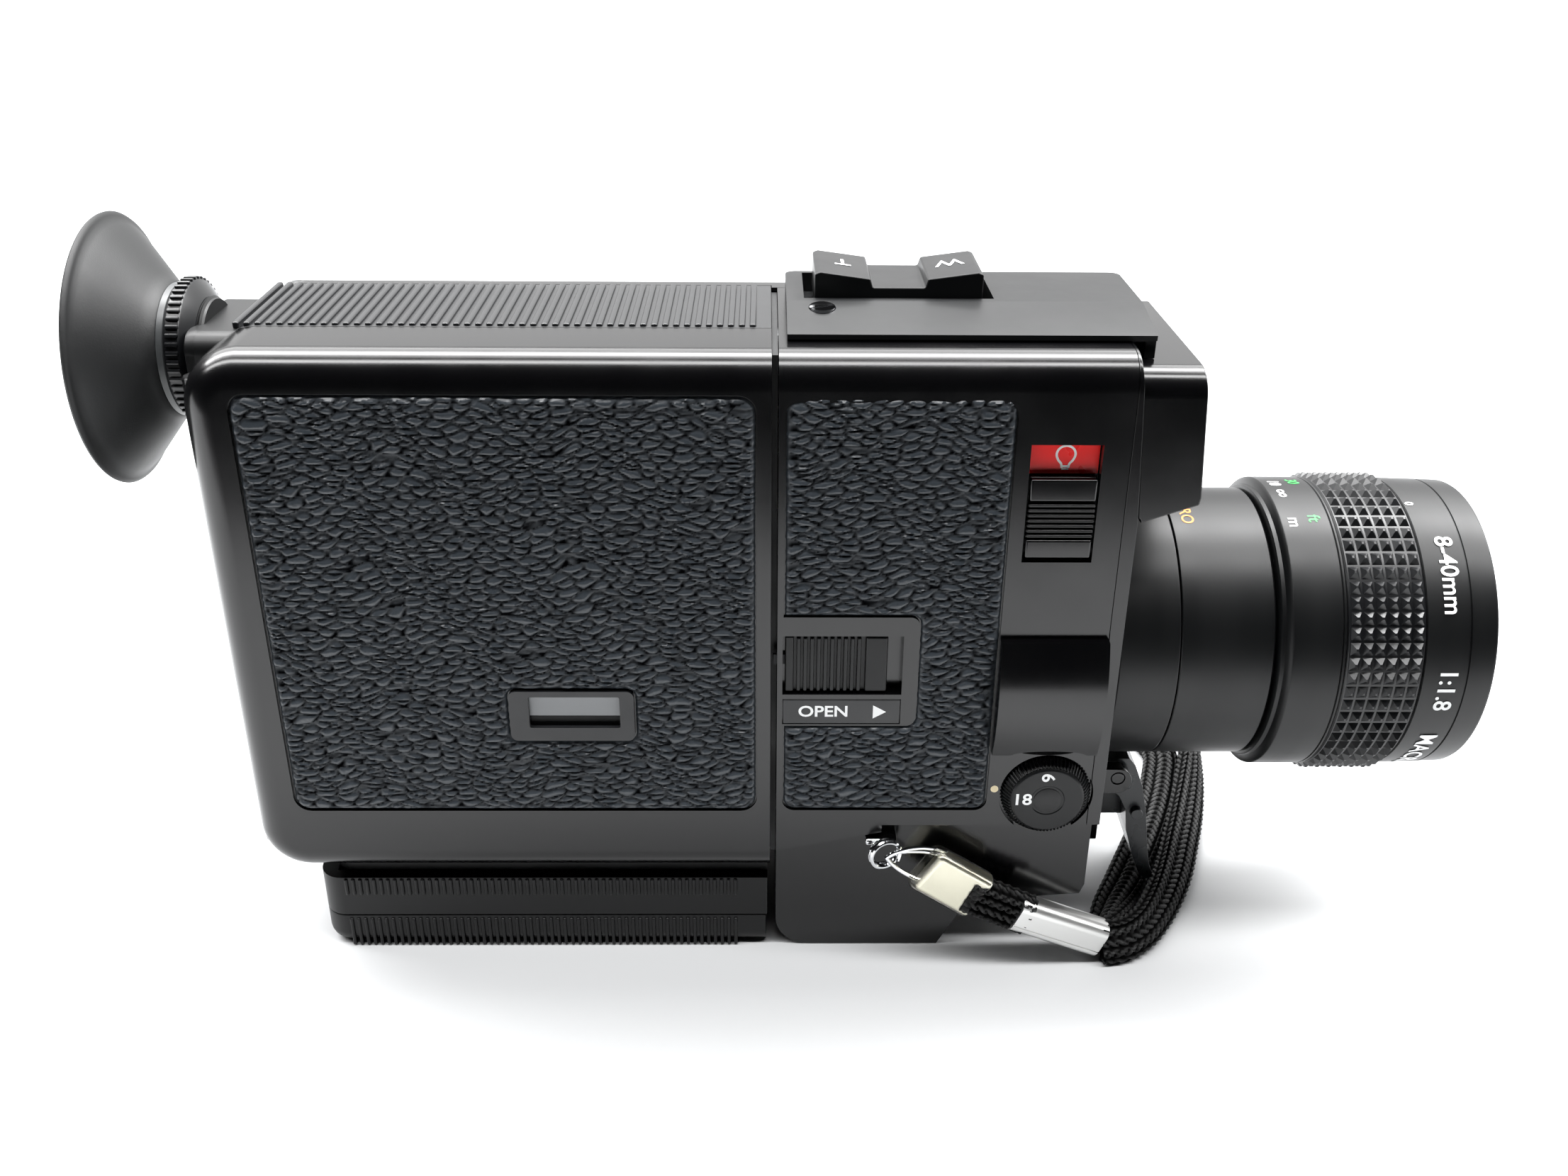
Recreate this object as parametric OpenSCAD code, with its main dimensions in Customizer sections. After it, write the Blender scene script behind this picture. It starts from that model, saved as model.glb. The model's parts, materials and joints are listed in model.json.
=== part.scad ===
// Super 8 cine camera: a box body with a film door, a zoom lens, a top rocker,
// a trigger, an eyepiece with a rubber cup and a wrist strap.
// +X points forward along the lens, +Z up, and the film door is on the -Y side.
// The origin is the mouth of the tripod socket, in the plane the camera stands on.

/* [Body] */
// Width of the body across its two sides
body_w = 44; // [42:0.5:56]
// Length of the film section, from the rear face to the seam
film_l = 83; // [82:0.5:105]
// Length of the lens section, from the seam to the front face
front_l = 52.2; // [50:0.1:64]
// Height of the top of the body above the base
body_top = 104; // [102:0.5:130]
// Height of the foot that lifts the film section
foot_h = 16; // [15.5:0.5:18]
// Height of the underside of the lens section
step_h = 26; // [25:0.5:28]
// Distance of the seam in front of the tripod socket, negative behind it
seam_x = -15; // [-20:0.5:-14.5]
// Radius of the long edges of the body
edge_r = 5; // [3:0.5:6]
// Thickness of the moulded walls
wall = 2.2; // [1.6:0.1:2.4]
// Open seam between the door and the lens section
seam_gap = 1; // [0.8:0.1:1.5]

/* [Film chamber] */
// Length of the film cartridge
cartridge_l = 73; // [70:1:74]
// Height of the film cartridge
cartridge_h = 69; // [60:1:69]
// Thickness of the film cartridge
cartridge_t = 24; // [20:0.5:25]
// Room left round the cartridge
chamber_gap = 0.8; // [0.5:0.1:1.2]
// Radius of the take-up spindle
spindle_r = 3.4; // [2.8:0.1:5]
// How far the door swings open, in degrees
door_open = 100; // [60:5:100]

/* [Lens] */
// Height of the lens axis above the base
axis_h = 52; // [50:0.5:60]
// Diameter of the filter thread
filter_d = 43; // [40:0.5:46]
// Length of the fixed flange in front of the body
flange_l = 9.6; // [8:0.1:14]
// Radius of the flange and of the zoom ring
barrel_r = 22; // [21:0.1:22.5]
// Length of the zoom ring
zoom_l = 14.6; // [12:0.1:22]
// Length of the focus scale
scale_l = 9.8; // [8:0.1:16]
// Radius of the focus scale
scale_r = 23.8; // [23.2:0.1:26]
// Length of the knurled focus grip
knurl_l = 11.9; // [9:0.1:18]
// Outer radius of the knurled focus grip
knurl_r = 24.6; // [24.2:0.1:27]
// Length of the plain front ring
nose_l = 11.4; // [9:0.1:18]
// Outer radius of the front rim
nose_r = 23.4; // [23:0.1:25]
// Travel of the zoom lens group
zoom_travel = 10; // [6:0.5:10]

/* [Eyepiece] */
// Height of the eyepiece axis below the top of the body
eye_drop = 6; // [6:0.5:9]
// Radius of the rubber eyecup at its rim
cup_r = 20.7; // [16:0.1:24]
// Depth of the rubber eyecup
cup_l = 9.4; // [7:0.1:14]
// Radius of the knurled dioptre ring
dioptre_r = 9.8; // [8.5:0.1:11]
// Radius of the finder tube
finder_r = 3.6; // [3:0.1:3.6]

/* [Controls] */
// Length of the latch slide
latch_l = 15.6; // [12:0.2:15.6]
// Height of the latch slide
latch_h = 9.6; // [7:0.2:11]
// Travel of the latch slide
latch_travel = 2; // [1.5:0.1:2.4]
// Width of the filter switch
switch_w = 9.6; // [7:0.2:10]
// Height of the filter switch
switch_h = 12.4; // [9:0.2:13]
// Travel of the filter switch
switch_travel = 4.8; // [3:0.2:4.8]
// Radius of the running speed dial
dial_r = 7.2; // [5:0.1:7.6]
// Length of the zoom rocker
rocker_l = 25; // [20:0.5:25]
// Width of the zoom rocker
rocker_w = 13.6; // [9:0.2:14]
// Width of the trigger blade
trigger_w = 15; // [8:0.5:16]
// Swing of the trigger, in degrees
trigger_swing = 7; // [3:1:8]

/* [Drive] */
// Module of the drive gears
gear_mod = 0.6; // [0.5:0.05:0.62]
// Teeth on the motor pinion
pinion_teeth = 14; // [12:1:16]
// Teeth on the idler gear
idler_teeth = 80; // [78:2:84]
// Teeth on the take-up gear
takeup_teeth = 70; // [68:2:74]
// Radius of the drive motor
motor_r = 9.5; // [7:0.5:10]
// Length of the drive motor
motor_l = 26; // [20:1:27]
// Diameter of a battery cell
cell_d = 14.2; // [10:0.1:14.4]
// Length of a battery cell
cell_l = 50; // [44:0.5:51]

/* [Base] */
// Width of the foot and of the grip block
base_w = 40; // [36:0.5:41]
// Radius of the tripod socket's thread crests
socket_r = 2.6; // [2.4:0.05:3]
// Depth of the tripod socket
socket_l = 8; // [6:0.5:9]

/* [Hidden] */
$fn = 64;

hair = 0.05;              // running clearance of shafts and rings, on the radius
fit = 0.3;                // gap between neighbours that move or are fitted
half_w = body_w / 2;
door_front = seam_x - seam_gap;
rear_x = door_front - film_l;
front_x = seam_x + front_l;
leather_t = 0.7;          // thickness of the leather panels
leather_up = 0.25;        // how far the leather stands out of the body
plate_t = 2.1;            // thickness of the front plate

// film chamber, measured from the seam back and around the lens axis
gate_x = door_front - 1.6;              // film side of the gate wall
chamber_l = cartridge_l + 2 * chamber_gap;
chamber_h = cartridge_h + 2 * chamber_gap;
chamber_z = foot_h + wall + 1.6;
back_y = cartridge_t / 2 + 0.6;         // the chamber's back wall
back_t = 1.6;
lid_y = -half_w + 14;                   // the door wraps over the top up to here
chassis_top = body_top - 2.7;

// lens stations along X
flange_x = front_x + flange_l;
zoom_x = flange_x + zoom_l;
scale_x = zoom_x + scale_l;
knurl_x = scale_x + knurl_l;
nose_x = knurl_x + nose_l;
tube_r = 15;                            // the fixed inner tube of the lens
thread_r = filter_d / 2 - 0.4;          // crests of the filter thread

// eyepiece
eye_z = body_top - eye_drop;
dioptre_w = 2.4;
dioptre_x = rear_x - 2.6;               // front of the dioptre ring
cup_x = dioptre_x - dioptre_w;          // front of the rubber cup

// door hinge
knuckle_r = 1.8;
hinge_x = rear_x + knuckle_r;
hinge_y = -half_w + edge_r + 0.1;
hinge_pin_r = 0.8;

// controls on the right side of the lens section
side_y = -half_w;
latch_x = seam_x + 1.2;
latch_z = axis_h + 3.5;
switch_x = front_x - 11.3;              // middle of the filter switch
switch_top = body_top - 12.6;           // top of its recess
dial_x = front_x - 9.2;
dial_z = axis_h - 20.1;

// drive train on the left side
spindle_x = gate_x - chamber_l / 2;
spindle_z = chamber_z + chamber_h / 2;
motor_x = seam_x + 25;
motor_z = axis_h + 27;
gears_y = back_y + back_t + 0.5;         // near face of every gear
gear_t = 2;
pinion_r = gear_mod * pinion_teeth / 2;
idler_r = gear_mod * idler_teeth / 2;
takeup_r = gear_mod * takeup_teeth / 2;
d_mi = pinion_r + idler_r;
d_it = idler_r + takeup_r;
d_mt = norm([motor_x - spindle_x, motor_z - spindle_z]);
// corner of the triangle motor, idler, take-up, below the line between the two ends
idler_turn = acos((d_it * d_it + d_mt * d_mt - d_mi * d_mi) / (2 * d_it * d_mt));
line_a = atan2(motor_z - spindle_z, motor_x - spindle_x);
idler_x = spindle_x + d_it * cos(line_a - idler_turn);
idler_z = spindle_z + d_it * sin(line_a - idler_turn);

// zoom drive behind the front plate
zoom_teeth = 60;
zoom_pinion_teeth = 12;
zoom_gear_r = gear_mod * zoom_teeth / 2;
zoom_mesh = zoom_gear_r + gear_mod * zoom_pinion_teeth / 2;
zoom_mesh_a = 45;
zoom_gear_x = front_x - plate_t - 4;

// trigger
trig_x = front_x + 5.4;
trig_z = axis_h - 24.9;
trig_pin_r = 1.2;

// strap hardware, hung on the lug and sloping down to the floor
lug_p = [2, -base_w / 2, step_h - 3];
link_p = [3.4, -base_w / 2 - 3.9, step_h - 4.6];
sleeve_a = [8.3, -base_w / 2 - 4, step_h - 6.1];
sleeve_b = [18.6, -base_w / 2 - 4.4, step_h - 12.6];
ferrule_a = [24.2, -base_w / 2 - 4.5, step_h - 15.2];
ferrule_b = [39.2, -base_w / 2 - 2.8, 3.7];
ferrule_h = 6.4;
ferrule_t = 4.8;

// centreline of the wrist strap, from the ferrule round its loop and back to the ferrule
strap_d = 2.2;
strap_route = [
    [39.3, -24.1, 3.6], [43.5, -23.2, 3.6], [47.5, -20, 3.5], [51, -15, 3.3], [54.3, -9, 3],
    [57.3, -2.5, 2.7], [60.2, 5, 2.7], [63.2, 13, 2.8], [66.2, 22, 3.1], [68.8, 31, 3.4],
    [71, 41, 3.6], [72.7, 54, 3.6], [73.6, 68, 3.6], [73.6, 82, 3.6], [71, 95, 3.6],
    [65.5, 104, 3.6], [58, 107, 3.6], [51, 104, 3.6], [47, 96, 3.4], [46.5, 85, 3],
    [49, 73, 2.4], [54, 60, 1.8], [60, 48, 1.4], [64, 37, 1.2], [61.8, 27, 1.2],
    [58.2, 17, 1.2], [54, 7.5, 1.2], [50.8, 1, 1.2], [47.3, -6, 1.4], [44, -12.5, 2.2],
    [41.6, -18, 3.2], [39.4, -21.5, 3.6]];

// ---------- small helpers ----------

// a block between two corners
module block(a, b) {
    translate(a) cube([b[0] - a[0], b[1] - a[1], b[2] - a[2]]);
}

// a rod along X, Y or Z from a start value to an end value
module rod_x(x0, x1, y, z, r) {
    translate([x0, y, z]) rotate([0, 90, 0]) cylinder(r = r, h = x1 - x0);
}
module rod_y(y0, y1, x, z, r) {
    translate([x, y1, z]) rotate([90, 0, 0]) cylinder(r = r, h = y1 - y0);
}
module rod_z(z0, z1, x, y, r) {
    translate([x, y, z0]) cylinder(r = r, h = z1 - z0);
}

// a tube along X between two radii
module tube_x(x0, x1, y, z, r, bore) {
    difference() {
        rod_x(x0, x1, y, z, r);
        rod_x(x0 - 1, x1 + 1, y, z, bore);
    }
}

// a rectangle with rounded corners, built from squares and circles
module round_rect(w, h, r) {
    translate([r, 0]) square([w - 2 * r, h]);
    translate([0, r]) square([w, h - 2 * r]);
    for (x = [r, w - r], y = [r, h - r]) translate([x, y]) circle(r);
}

// a bar along X whose section is a rounded rectangle
module bar_x(x0, x1, half, z0, z1, r) {
    translate([x0, -half, z0]) rotate([90, 0, 90]) linear_extrude(x1 - x0) round_rect(2 * half, z1 - z0, r);
}

// a plate in the XZ plane with rounded corners, between two Y values
module plate_y(x0, x1, z0, z1, y0, y1, r) {
    translate([x0, y1, z0]) rotate([90, 0, 0]) linear_extrude(y1 - y0) round_rect(x1 - x0, z1 - z0, r);
}

// the film section as one solid, drawn in by an inset on every side
module film_solid(inset) {
    r = edge_r - inset * 0.8;
    intersection() {
        bar_x(rear_x + inset, seam_x + 20, half_w - inset, foot_h + inset, body_top - inset, r);
        translate([rear_x + inset, -half_w + inset, foot_h - 1]) linear_extrude(body_top - foot_h + 2)
            round_rect(film_l + 60, 2 * (half_w - inset), r);
    }
}

// outline of a spur gear, its first tooth at an angle
module gear_outline(teeth, first) {
    pitch = gear_mod * teeth / 2;
    outer = pitch + gear_mod * 0.8;
    root = pitch - gear_mod * 1.15;
    step = 360 / teeth;
    polygon([for (i = [0 : teeth - 1], k = [0 : 3])
        let(a = first + i * step + step * [-0.25, -0.12, 0.12, 0.25][k], r = [root, outer, outer, root][k])
        [r * cos(a), r * sin(a)]]);
}

// a spur gear on the drive plate, its axis along Y
module drive_gear(x, z, teeth, first) {
    translate([x, gears_y + gear_t, z]) rotate([90, 0, 0]) linear_extrude(gear_t)
        gear_outline(teeth, first);
}

// a spur gear round the lens or its motor, its axis along X
module lens_gear(y, z, teeth, first, t) {
    translate([zoom_gear_x, y, z]) rotate([90, 0, 90]) linear_extrude(t) gear_outline(teeth, first);
}

// angle of a driven gear's first tooth so that it meshes with its driver
function mesh_angle(dir, first, driver, driven) =
    dir + 180 - 180 / driven - (first - dir) * driver / driven;

// local +X laid along the line from a to b
module along(a, b) {
    d = b - a;
    translate(a) rotate([0, atan2(-d[2], norm([d[0], d[1]])), atan2(d[1], d[0])]) children();
}

// ---------- body ----------

module chassis() {
    color("dimgray") {
        difference() {
            union() {
                // back wall and rear wall
                block([rear_x + wall + fit, back_y, foot_h + wall + fit],
                    [door_front, back_y + back_t, chassis_top]);
                difference() {
                    intersection() {
                        film_solid(0);
                        block([rear_x - 1, hinge_y + knuckle_r + fit, foot_h - 1],
                            [rear_x + wall + fit + 0.5, back_y + back_t, body_top + 1]);
                    }
                    block([rear_x - 2, -half_w - 1, body_top - wall - fit],
                        [rear_x + 9, lid_y + fit, body_top + 1]);
                    block([rear_x - 2, -half_w, chassis_top], [rear_x + 9, half_w, body_top + 1]);
                }
                // floor and ceiling, clear of the door's knuckles
                difference() {
                    union() {
                        block([rear_x + wall + fit, -half_w + wall + 2.4, foot_h + wall + fit],
                            [door_front, back_y + back_t, chamber_z]);
                        block([rear_x + wall + fit, -half_w + wall + 2.4, chamber_z + chamber_h],
                            [door_front, back_y + back_t, chamber_z + chamber_h + 1.2]);
                    }
                    rod_z(foot_h, body_top, hinge_x, hinge_y, knuckle_r + fit + 0.1);
                }
                // gate wall
                block([gate_x, -half_w + wall + 2.4, foot_h + wall + fit],
                    [door_front, back_y + back_t, chassis_top]);
                // underside plate over the foot
                block([rear_x + 9, hinge_y + 2.2, foot_h],
                    [seam_x - 0.1, back_y + back_t, foot_h + wall + fit]);
                // hinge knuckles
                for (k = [1, 3]) rod_z(knuckle_z(k), knuckle_z(k + 1) - fit, hinge_x, hinge_y, knuckle_r);
                for (k = [1, 3]) block([hinge_x - knuckle_r, hinge_y, knuckle_z(k)],
                    [hinge_x + 0.9, hinge_y + knuckle_r + fit + 0.1, knuckle_z(k + 1) - fit]);
            }
            // bore of the hinge pin, film aperture and clearance for the finder tube
            rod_z(foot_h - 1, body_top + 1, hinge_x, hinge_y, hinge_pin_r + hair);
            block([gate_x - 1, -4.5, axis_h - 4], [door_front + 1, 4.5, axis_h + 4]);
            rod_x(rear_x - 1, door_front + 1, 0, eye_z, finder_r + hair);
            // seat of the take-up spindle
            rod_y(back_y - 1, back_y + back_t + 1, spindle_x, spindle_z, 2 + hair);
        }
    }
}

// heights at which the five hinge knuckles start
function knuckle_z(k) = foot_h + edge_r - 1 + k * (body_top - foot_h - 2 * edge_r + 2) / 5;

// the left half of the shell, from the rear face to the front plate
module left_cover() {
    color("#1c1d1f") difference() {
        union() {
            intersection() {
                film_solid(0);
                block([rear_x - 1, back_y + back_t + 0.15, foot_h - 1], [seam_x, half_w + 1, body_top + 1]);
            }
            intersection() {
                bar_x(seam_x - 1, front_x - plate_t - 0.1, half_w, step_h - 10, body_top, edge_r);
                block([seam_x - 0.5, back_y + back_t + 0.15, step_h], [front_x, half_w + 1, body_top + 1]);
            }
        }
        intersection() {
            film_solid(wall);
            block([rear_x, back_y, foot_h], [seam_x - 0.4, half_w, body_top]);
        }
        intersection() {
            bar_x(seam_x - 2, front_x, half_w - wall, step_h - 8, body_top - wall, edge_r - 1.6);
            block([seam_x - 1, back_y, step_h + wall], [front_x, half_w, body_top]);
        }
        // seat of the ribbed top and of the leather
        block([rear_x - 1, back_y - 1, chassis_top - 0.05],
            [seam_x - 0.9, back_y + back_t + 1.4, body_top + 1]);
        plate_y(rear_x + 7, front_x - 18.4, foot_h + 12.5, body_top - 6.1,
            half_w - leather_t + leather_up, half_w + 1, 2.6);
        for (p = cover_screw_places()) rod_y(half_w - wall - 1, half_w + 1, p[0], p[1], 1);
    }
}

// places of the screws on the left cover
function cover_screw_places() = [
    [rear_x + 5, body_top - 5.4], [rear_x + 5, foot_h + 6], [front_x - 6, body_top - 6],
        [front_x - 6, step_h + 6]];

// the strip of ribs over the film chamber
module top_cover() {
    rib = 0.85;
    pitch = 1.6;
    y0 = lid_y + 0.25;
    y1 = back_y + back_t + 1.3;
    color("#202124") difference() {
        union() {
            intersection() {
                film_solid(0);
                block([rear_x - 1, y0, chassis_top + 0.05], [door_front, y1, body_top + 1]);
            }
            for (x = [rear_x + 7 : pitch : door_front - 2])
                block([x, y0 + 0.5, body_top - 0.2], [x + rib, y1 - 0.4, body_top + 0.4]);
        }
        rod_x(rear_x - 1, door_front + 1, 0, eye_z, finder_r + hair);
    }
}

module front_cover() {
    color("#1b1c1f") difference() {
        union() {
            difference() {
                intersection() {
                    bar_x(seam_x, front_x - plate_t - 0.1, half_w, step_h - 10, body_top, edge_r);
                    block([seam_x, -half_w - 1, step_h], [front_x, back_y + back_t, body_top + 1]);
                }
                intersection() {
                    bar_x(seam_x - 2, front_x + 1, half_w - wall, step_h - 8, body_top - wall,
                        edge_r - 1.6);
                    block([seam_x - 2, -half_w, step_h + wall], [front_x + 1, half_w, body_top]);
                }
            }
            // skirt that fades into the grip block at the rear
            translate([0, -half_w + wall, 0]) rotate([90, 0, 0]) linear_extrude(wall)
                polygon([[seam_x, step_h - 5], [2, step_h - 1.4], [2, step_h + 1], [seam_x, step_h + 1]]);
            // boss over the lens seat
            intersection() {
                rod_x(front_x - 18.6, front_x - plate_t - 0.1, 0, axis_h - 1.8, 25.4);
                block([front_x - 18.6, -half_w - 3.4, axis_h - 11.8],
                    [front_x, -half_w + 0.5, axis_h + 8.2]);
            }
            // floors of the recesses
            block([seam_x + 0.4, side_y + 2, latch_z - 8], [seam_x + 22, side_y + 4.4, latch_z + 7]);
            block([switch_x - 7, side_y + 2, switch_top - 21],
                [switch_x + 7, side_y + 3.2, switch_top + 2]);
        }
        // recesses of the latch, the switch and the dial
        block([latch_x - 0.4, side_y - 4, latch_z - latch_h / 2 - fit],
            [latch_x + latch_l + latch_travel + fit, side_y + 2.2, latch_z + latch_h / 2 + fit]);
        block([seam_x - 1, side_y + 1.2, latch_z - 1.4], [latch_x + 1, side_y + 2.2, latch_z + 2]);
        block([latch_x - 0.4, side_y - 4, latch_z - latch_h / 2 - 5.6],
            [latch_x + latch_l + latch_travel + fit, side_y + 0.7, latch_z - latch_h / 2 - 1.1]);
        block([switch_x - switch_w / 2 - 0.35, side_y - 4, switch_top - switch_h - switch_travel - 1.2],
            [switch_x + switch_w / 2 + 0.35, side_y + 1.9, switch_top]);
        dial_recess();
        rod_y(side_y - 4, side_y + wall + 1, dial_x, dial_z, 1.5 + hair);
        // leather panel
        difference() {
            plate_y(seam_x + 0.9, front_x - 18.6, step_h + 2.9, body_top - 6.4, side_y - 1,
                side_y + leather_t - leather_up, 2);
            latch_frame();
        }
        // opening under the rocker
        block([rocker_x() - rocker_l / 2 - 1.4, rocker_y() - rocker_w / 2 - 0.8, body_top - wall - 1],
            [rocker_x() + rocker_l / 2 + 1.4, rocker_y() + rocker_w / 2 + 0.8, body_top + 1]);
        rod_z(body_top - 5, body_top + 1, seam_x + 6.4, -6.1, 0.9);
    }
}

// the shallow round seat of the speed dial
module dial_recess() {
    rod_y(side_y - 4, side_y + 0.8, dial_x, dial_z, dial_r + fit);
}

// the smooth frame round the latch, which the leather leaves free
module latch_frame() {
    plate_y(seam_x - 2, latch_x + latch_l + 4.6, latch_z - 10.7, latch_z + 8.3, side_y - 2, side_y + 2,
        1.4);
}

module front_plate() {
    x0 = front_x - plate_t;
    lean = 3.2;      // how far the top leans back
    color("#1a1b1d") difference() {
        intersection() {
            bar_x(x0, front_x, half_w, step_h - 10, body_top, edge_r);
            block([x0 - 1, -half_w - 1, step_h], [front_x + 1, half_w + 1, body_top]);
        }
        // the top of the plate leans back
        translate([front_x, half_w + 1, axis_h + 27]) rotate([90, 0, 0]) linear_extrude(body_w + 2)
            polygon([[0, 0], [4, 0], [4, body_top - axis_h - 26], [-lean * 0.55, body_top - axis_h - 26]]);
        rod_x(x0 - 1, front_x + 1, 0, axis_h, tube_r + 3.2);
        dial_recess();
    }
    // ears that carry the trigger pin
    color("#1a1b1d") for (s = [-1, 1]) difference() {
        hull() {
            block([front_x - 0.5, s * (trigger_w / 2 + 1.7) - 1.2, trig_z - 3],
                [front_x, s * (trigger_w / 2 + 1.7) + 1.2, trig_z + 1.9]);
            rod_y(s * (trigger_w / 2 + 1.7) - 1.2, s * (trigger_w / 2 + 1.7) + 1.2, trig_x, trig_z - 0.6,
                2.4);
        }
        rod_y(-half_w, half_w, trig_x, trig_z, trig_pin_r);
    }
}

// side outline of the grip block under the lens section
module block_outline(inset) {
    r = 4;
    front = front_x - 0.7 - inset;
    heel = 27.4;
    polygon([[seam_x + inset, r], [seam_x + 1.2 + inset, 1.2 + inset * 0.4], [seam_x + r + inset, inset],
        [seam_x + heel, inset], [seam_x + heel + 3.2, 6 + inset], [seam_x + heel + 4.2, 9.2 + inset],
        [front - 0.7, 10.6 + inset], [front, 12.5 + inset], [front, step_h - 0.1 - inset],
        [seam_x + inset, step_h - 0.1 - inset]]);
}

module base_block() {
    color("#1d1e21") difference() {
        translate([0, base_w / 2, 0]) rotate([90, 0, 0]) linear_extrude(base_w) block_outline(0);
        translate([0, base_w / 2 - wall, 0]) rotate([90, 0, 0]) linear_extrude(base_w - 2 * wall)
            block_outline(wall);
        // skirt of the front cover
        translate([0, -base_w / 2 - 0.1 + wall, 0]) rotate([90, 0, 0]) linear_extrude(wall)
            polygon([[seam_x - 1, step_h - 5.2], [2.1, step_h - 1.5], [2.1, step_h + 1],
                [seam_x - 1, step_h + 1]]);
        rod_z(-1, wall + 1, 0, 0, 5.5);
        block([front_x - 6, -4.2, trig_z - 15.6], [front_x + 1, 4.2, trig_z - 5.7]);
    }
}

module tripod_bush() {
    color("silver") difference() {
        union() {
            rod_z(0, wall, 0, 0, 5.45);
            rod_z(wall + 0.02, socket_l + 2, 0, 0, 6.6);
        }
        rod_z(-1, socket_l, 0, 0, socket_r);
    }
}

// ribbed sides of the foot: a band of short upright ribs between two heights
module foot_ribs(x0, x1, z0, z1, half) {
    pitch = 1.9;
    for (s = [-1, 1], x = [x0 : pitch : x1])
        block([x, s * half - (s > 0 ? 0.3 : 0.35), z0], [x + 1, s * half + (s > 0 ? 0.35 : 0.3), z1]);
}

module battery_housing() {
    half = base_w / 2 + 0.1;
    split = 6.4;
    top = foot_h - 2;
    color("#191a1c") {
        difference() {
            union() {
                block([rear_x + 9.6, -half, split], [seam_x - 1.4, half, top]);
                // neck up to the body
                block([rear_x + 10.6, -half + 2, top - 1], [seam_x - 1.4, half - 2, foot_h - 0.05]);
            }
            block([rear_x + 11.2, -half + wall, split - 1], [seam_x - 3, half - wall, top + 0.2]);
            block([rear_x + 12.2, -half + 2 + wall, split - 1], [seam_x - 3, half - 2 - wall, foot_h + 1]);
        }
        foot_ribs(rear_x + 12, seam_x - 3.6, split + 0.8, top - 0.6, half);
    }
}

module battery_cover() {
    half = base_w / 2 + 0.1;
    split = 6.4 - 0.2;
    r = 3.5;
    x0 = rear_x + 9.6;
    x1 = seam_x - 1.6;
    color("#191a1c") {
        difference() {
            translate([0, half, 0]) rotate([90, 0, 0]) linear_extrude(2 * half)
                polygon(concat([for (a = [180:15:270]) [x0 + r + r * cos(a), r + r * sin(a)]],
                    [[x1, 0], [x1, split], [x0, split]]));
            block([x0 + 1.7, -half + wall, 1.4], [x1 + 1, half - wall, split + 1]);
        }
        foot_ribs(x0 + 5, x1 - 2, 1.4, split - 0.8, half);
    }
}

module battery_cells() {
    z = 1.7 + cell_d / 2;
    x0 = rear_x + 19;
    for (s = [-1, 1]) {
        color("goldenrod") rod_x(x0, x0 + cell_l - 1.4, s * (cell_d / 2 + 0.6), z, cell_d / 2);
        color("silver") rod_x(x0 + cell_l - 1.4, x0 + cell_l, s * (cell_d / 2 + 0.6), z, 2.7);
    }
}

module battery_contacts() {
    z = 1.7 + cell_d / 2;
    x0 = rear_x + 19;
    color("gold") {
        block([x0 + cell_l, -cell_d - 0.2, z - 4], [x0 + cell_l + 0.4, cell_d + 0.2, foot_h - 0.2]);
        for (s = [-1, 1]) {
            for (k = [0:3]) translate([x0 - 0.45 - k * 1.35, s * (cell_d / 2 + 0.6), z]) rotate([0, 90, 0])
                rotate_extrude() translate([4.6 - k * 0.5, 0]) circle(r = 0.45, $fn = 16);
            rod_x(x0 - 5.2, x0 - 0.45, s * (cell_d / 2 + 0.6) + 3.8, z, 0.5);
        }
        block([x0 - 5.6, -cell_d - 0.2, z - 4], [x0 - 5.2, cell_d + 0.2, foot_h - 0.2]);
    }
}

// ---------- top ----------

function rocker_x() = seam_x + 17.9;
function rocker_y() = 5;
function rocker_z() = body_top + 1;

module top_plate() {
    r = 1.6;
    x0 = seam_x + 1.2;
    x1 = front_x + 1.6;
    y0 = -half_w + 2;
    y1 = half_w - 8.8;
    color("#222326") difference() {
        union() {
            translate([x0, y0, body_top]) linear_extrude(3) round_rect(x1 - x0, y1 - y0, r);
            // lip that hangs over the front plate
            block([front_x + 0.1, y0 + r, body_top - 2.4], [x1, y1 - r, body_top + 0.1]);
        }
        block([rocker_x() - rocker_l / 2 - 1.6, rocker_y() - rocker_w / 2 - 0.7, body_top - 1],
            [rocker_x() + rocker_l / 2 + 1.6, rocker_y() + rocker_w / 2 + 0.3, body_top + 4]);
        // screw hole and its seat, and the rocker's pin
        rod_z(body_top - 1, body_top + 4, seam_x + 6.4, -6.1, 1.1);
        rod_z(body_top + 1.6, body_top + 4, seam_x + 6.4, -6.1, 2);
        rod_y(rocker_y() - rocker_w / 2 - 3, rocker_y() + rocker_w / 2 + 2.6, rocker_x(), rocker_z(), 0.8);
    }
}

module cover_screws() {
    color("silver") {
        difference() {
            union() {
                rod_z(body_top + 1.6, body_top + 2.7, seam_x + 6.4, -6.1, 1.9);
                rod_z(body_top - 5, body_top + 1.7, seam_x + 6.4, -6.1, 0.85);
            }
            translate([seam_x + 6.4, -6.1, body_top + 2.5]) rotate([0, 0, 25])
                cube([5, 0.5, 1], center = true);
        }
        for (p = cover_screw_places()) difference() {
            union() {
                rod_y(half_w, half_w + 0.7, p[0], p[1], 1.9);
                rod_y(half_w - wall - 2, half_w + 0.1, p[0], p[1], 0.95);
            }
            translate([p[0], half_w + 0.6, p[1]]) cube([5, 0.7, 0.5], center = true);
        }
    }
}

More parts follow.
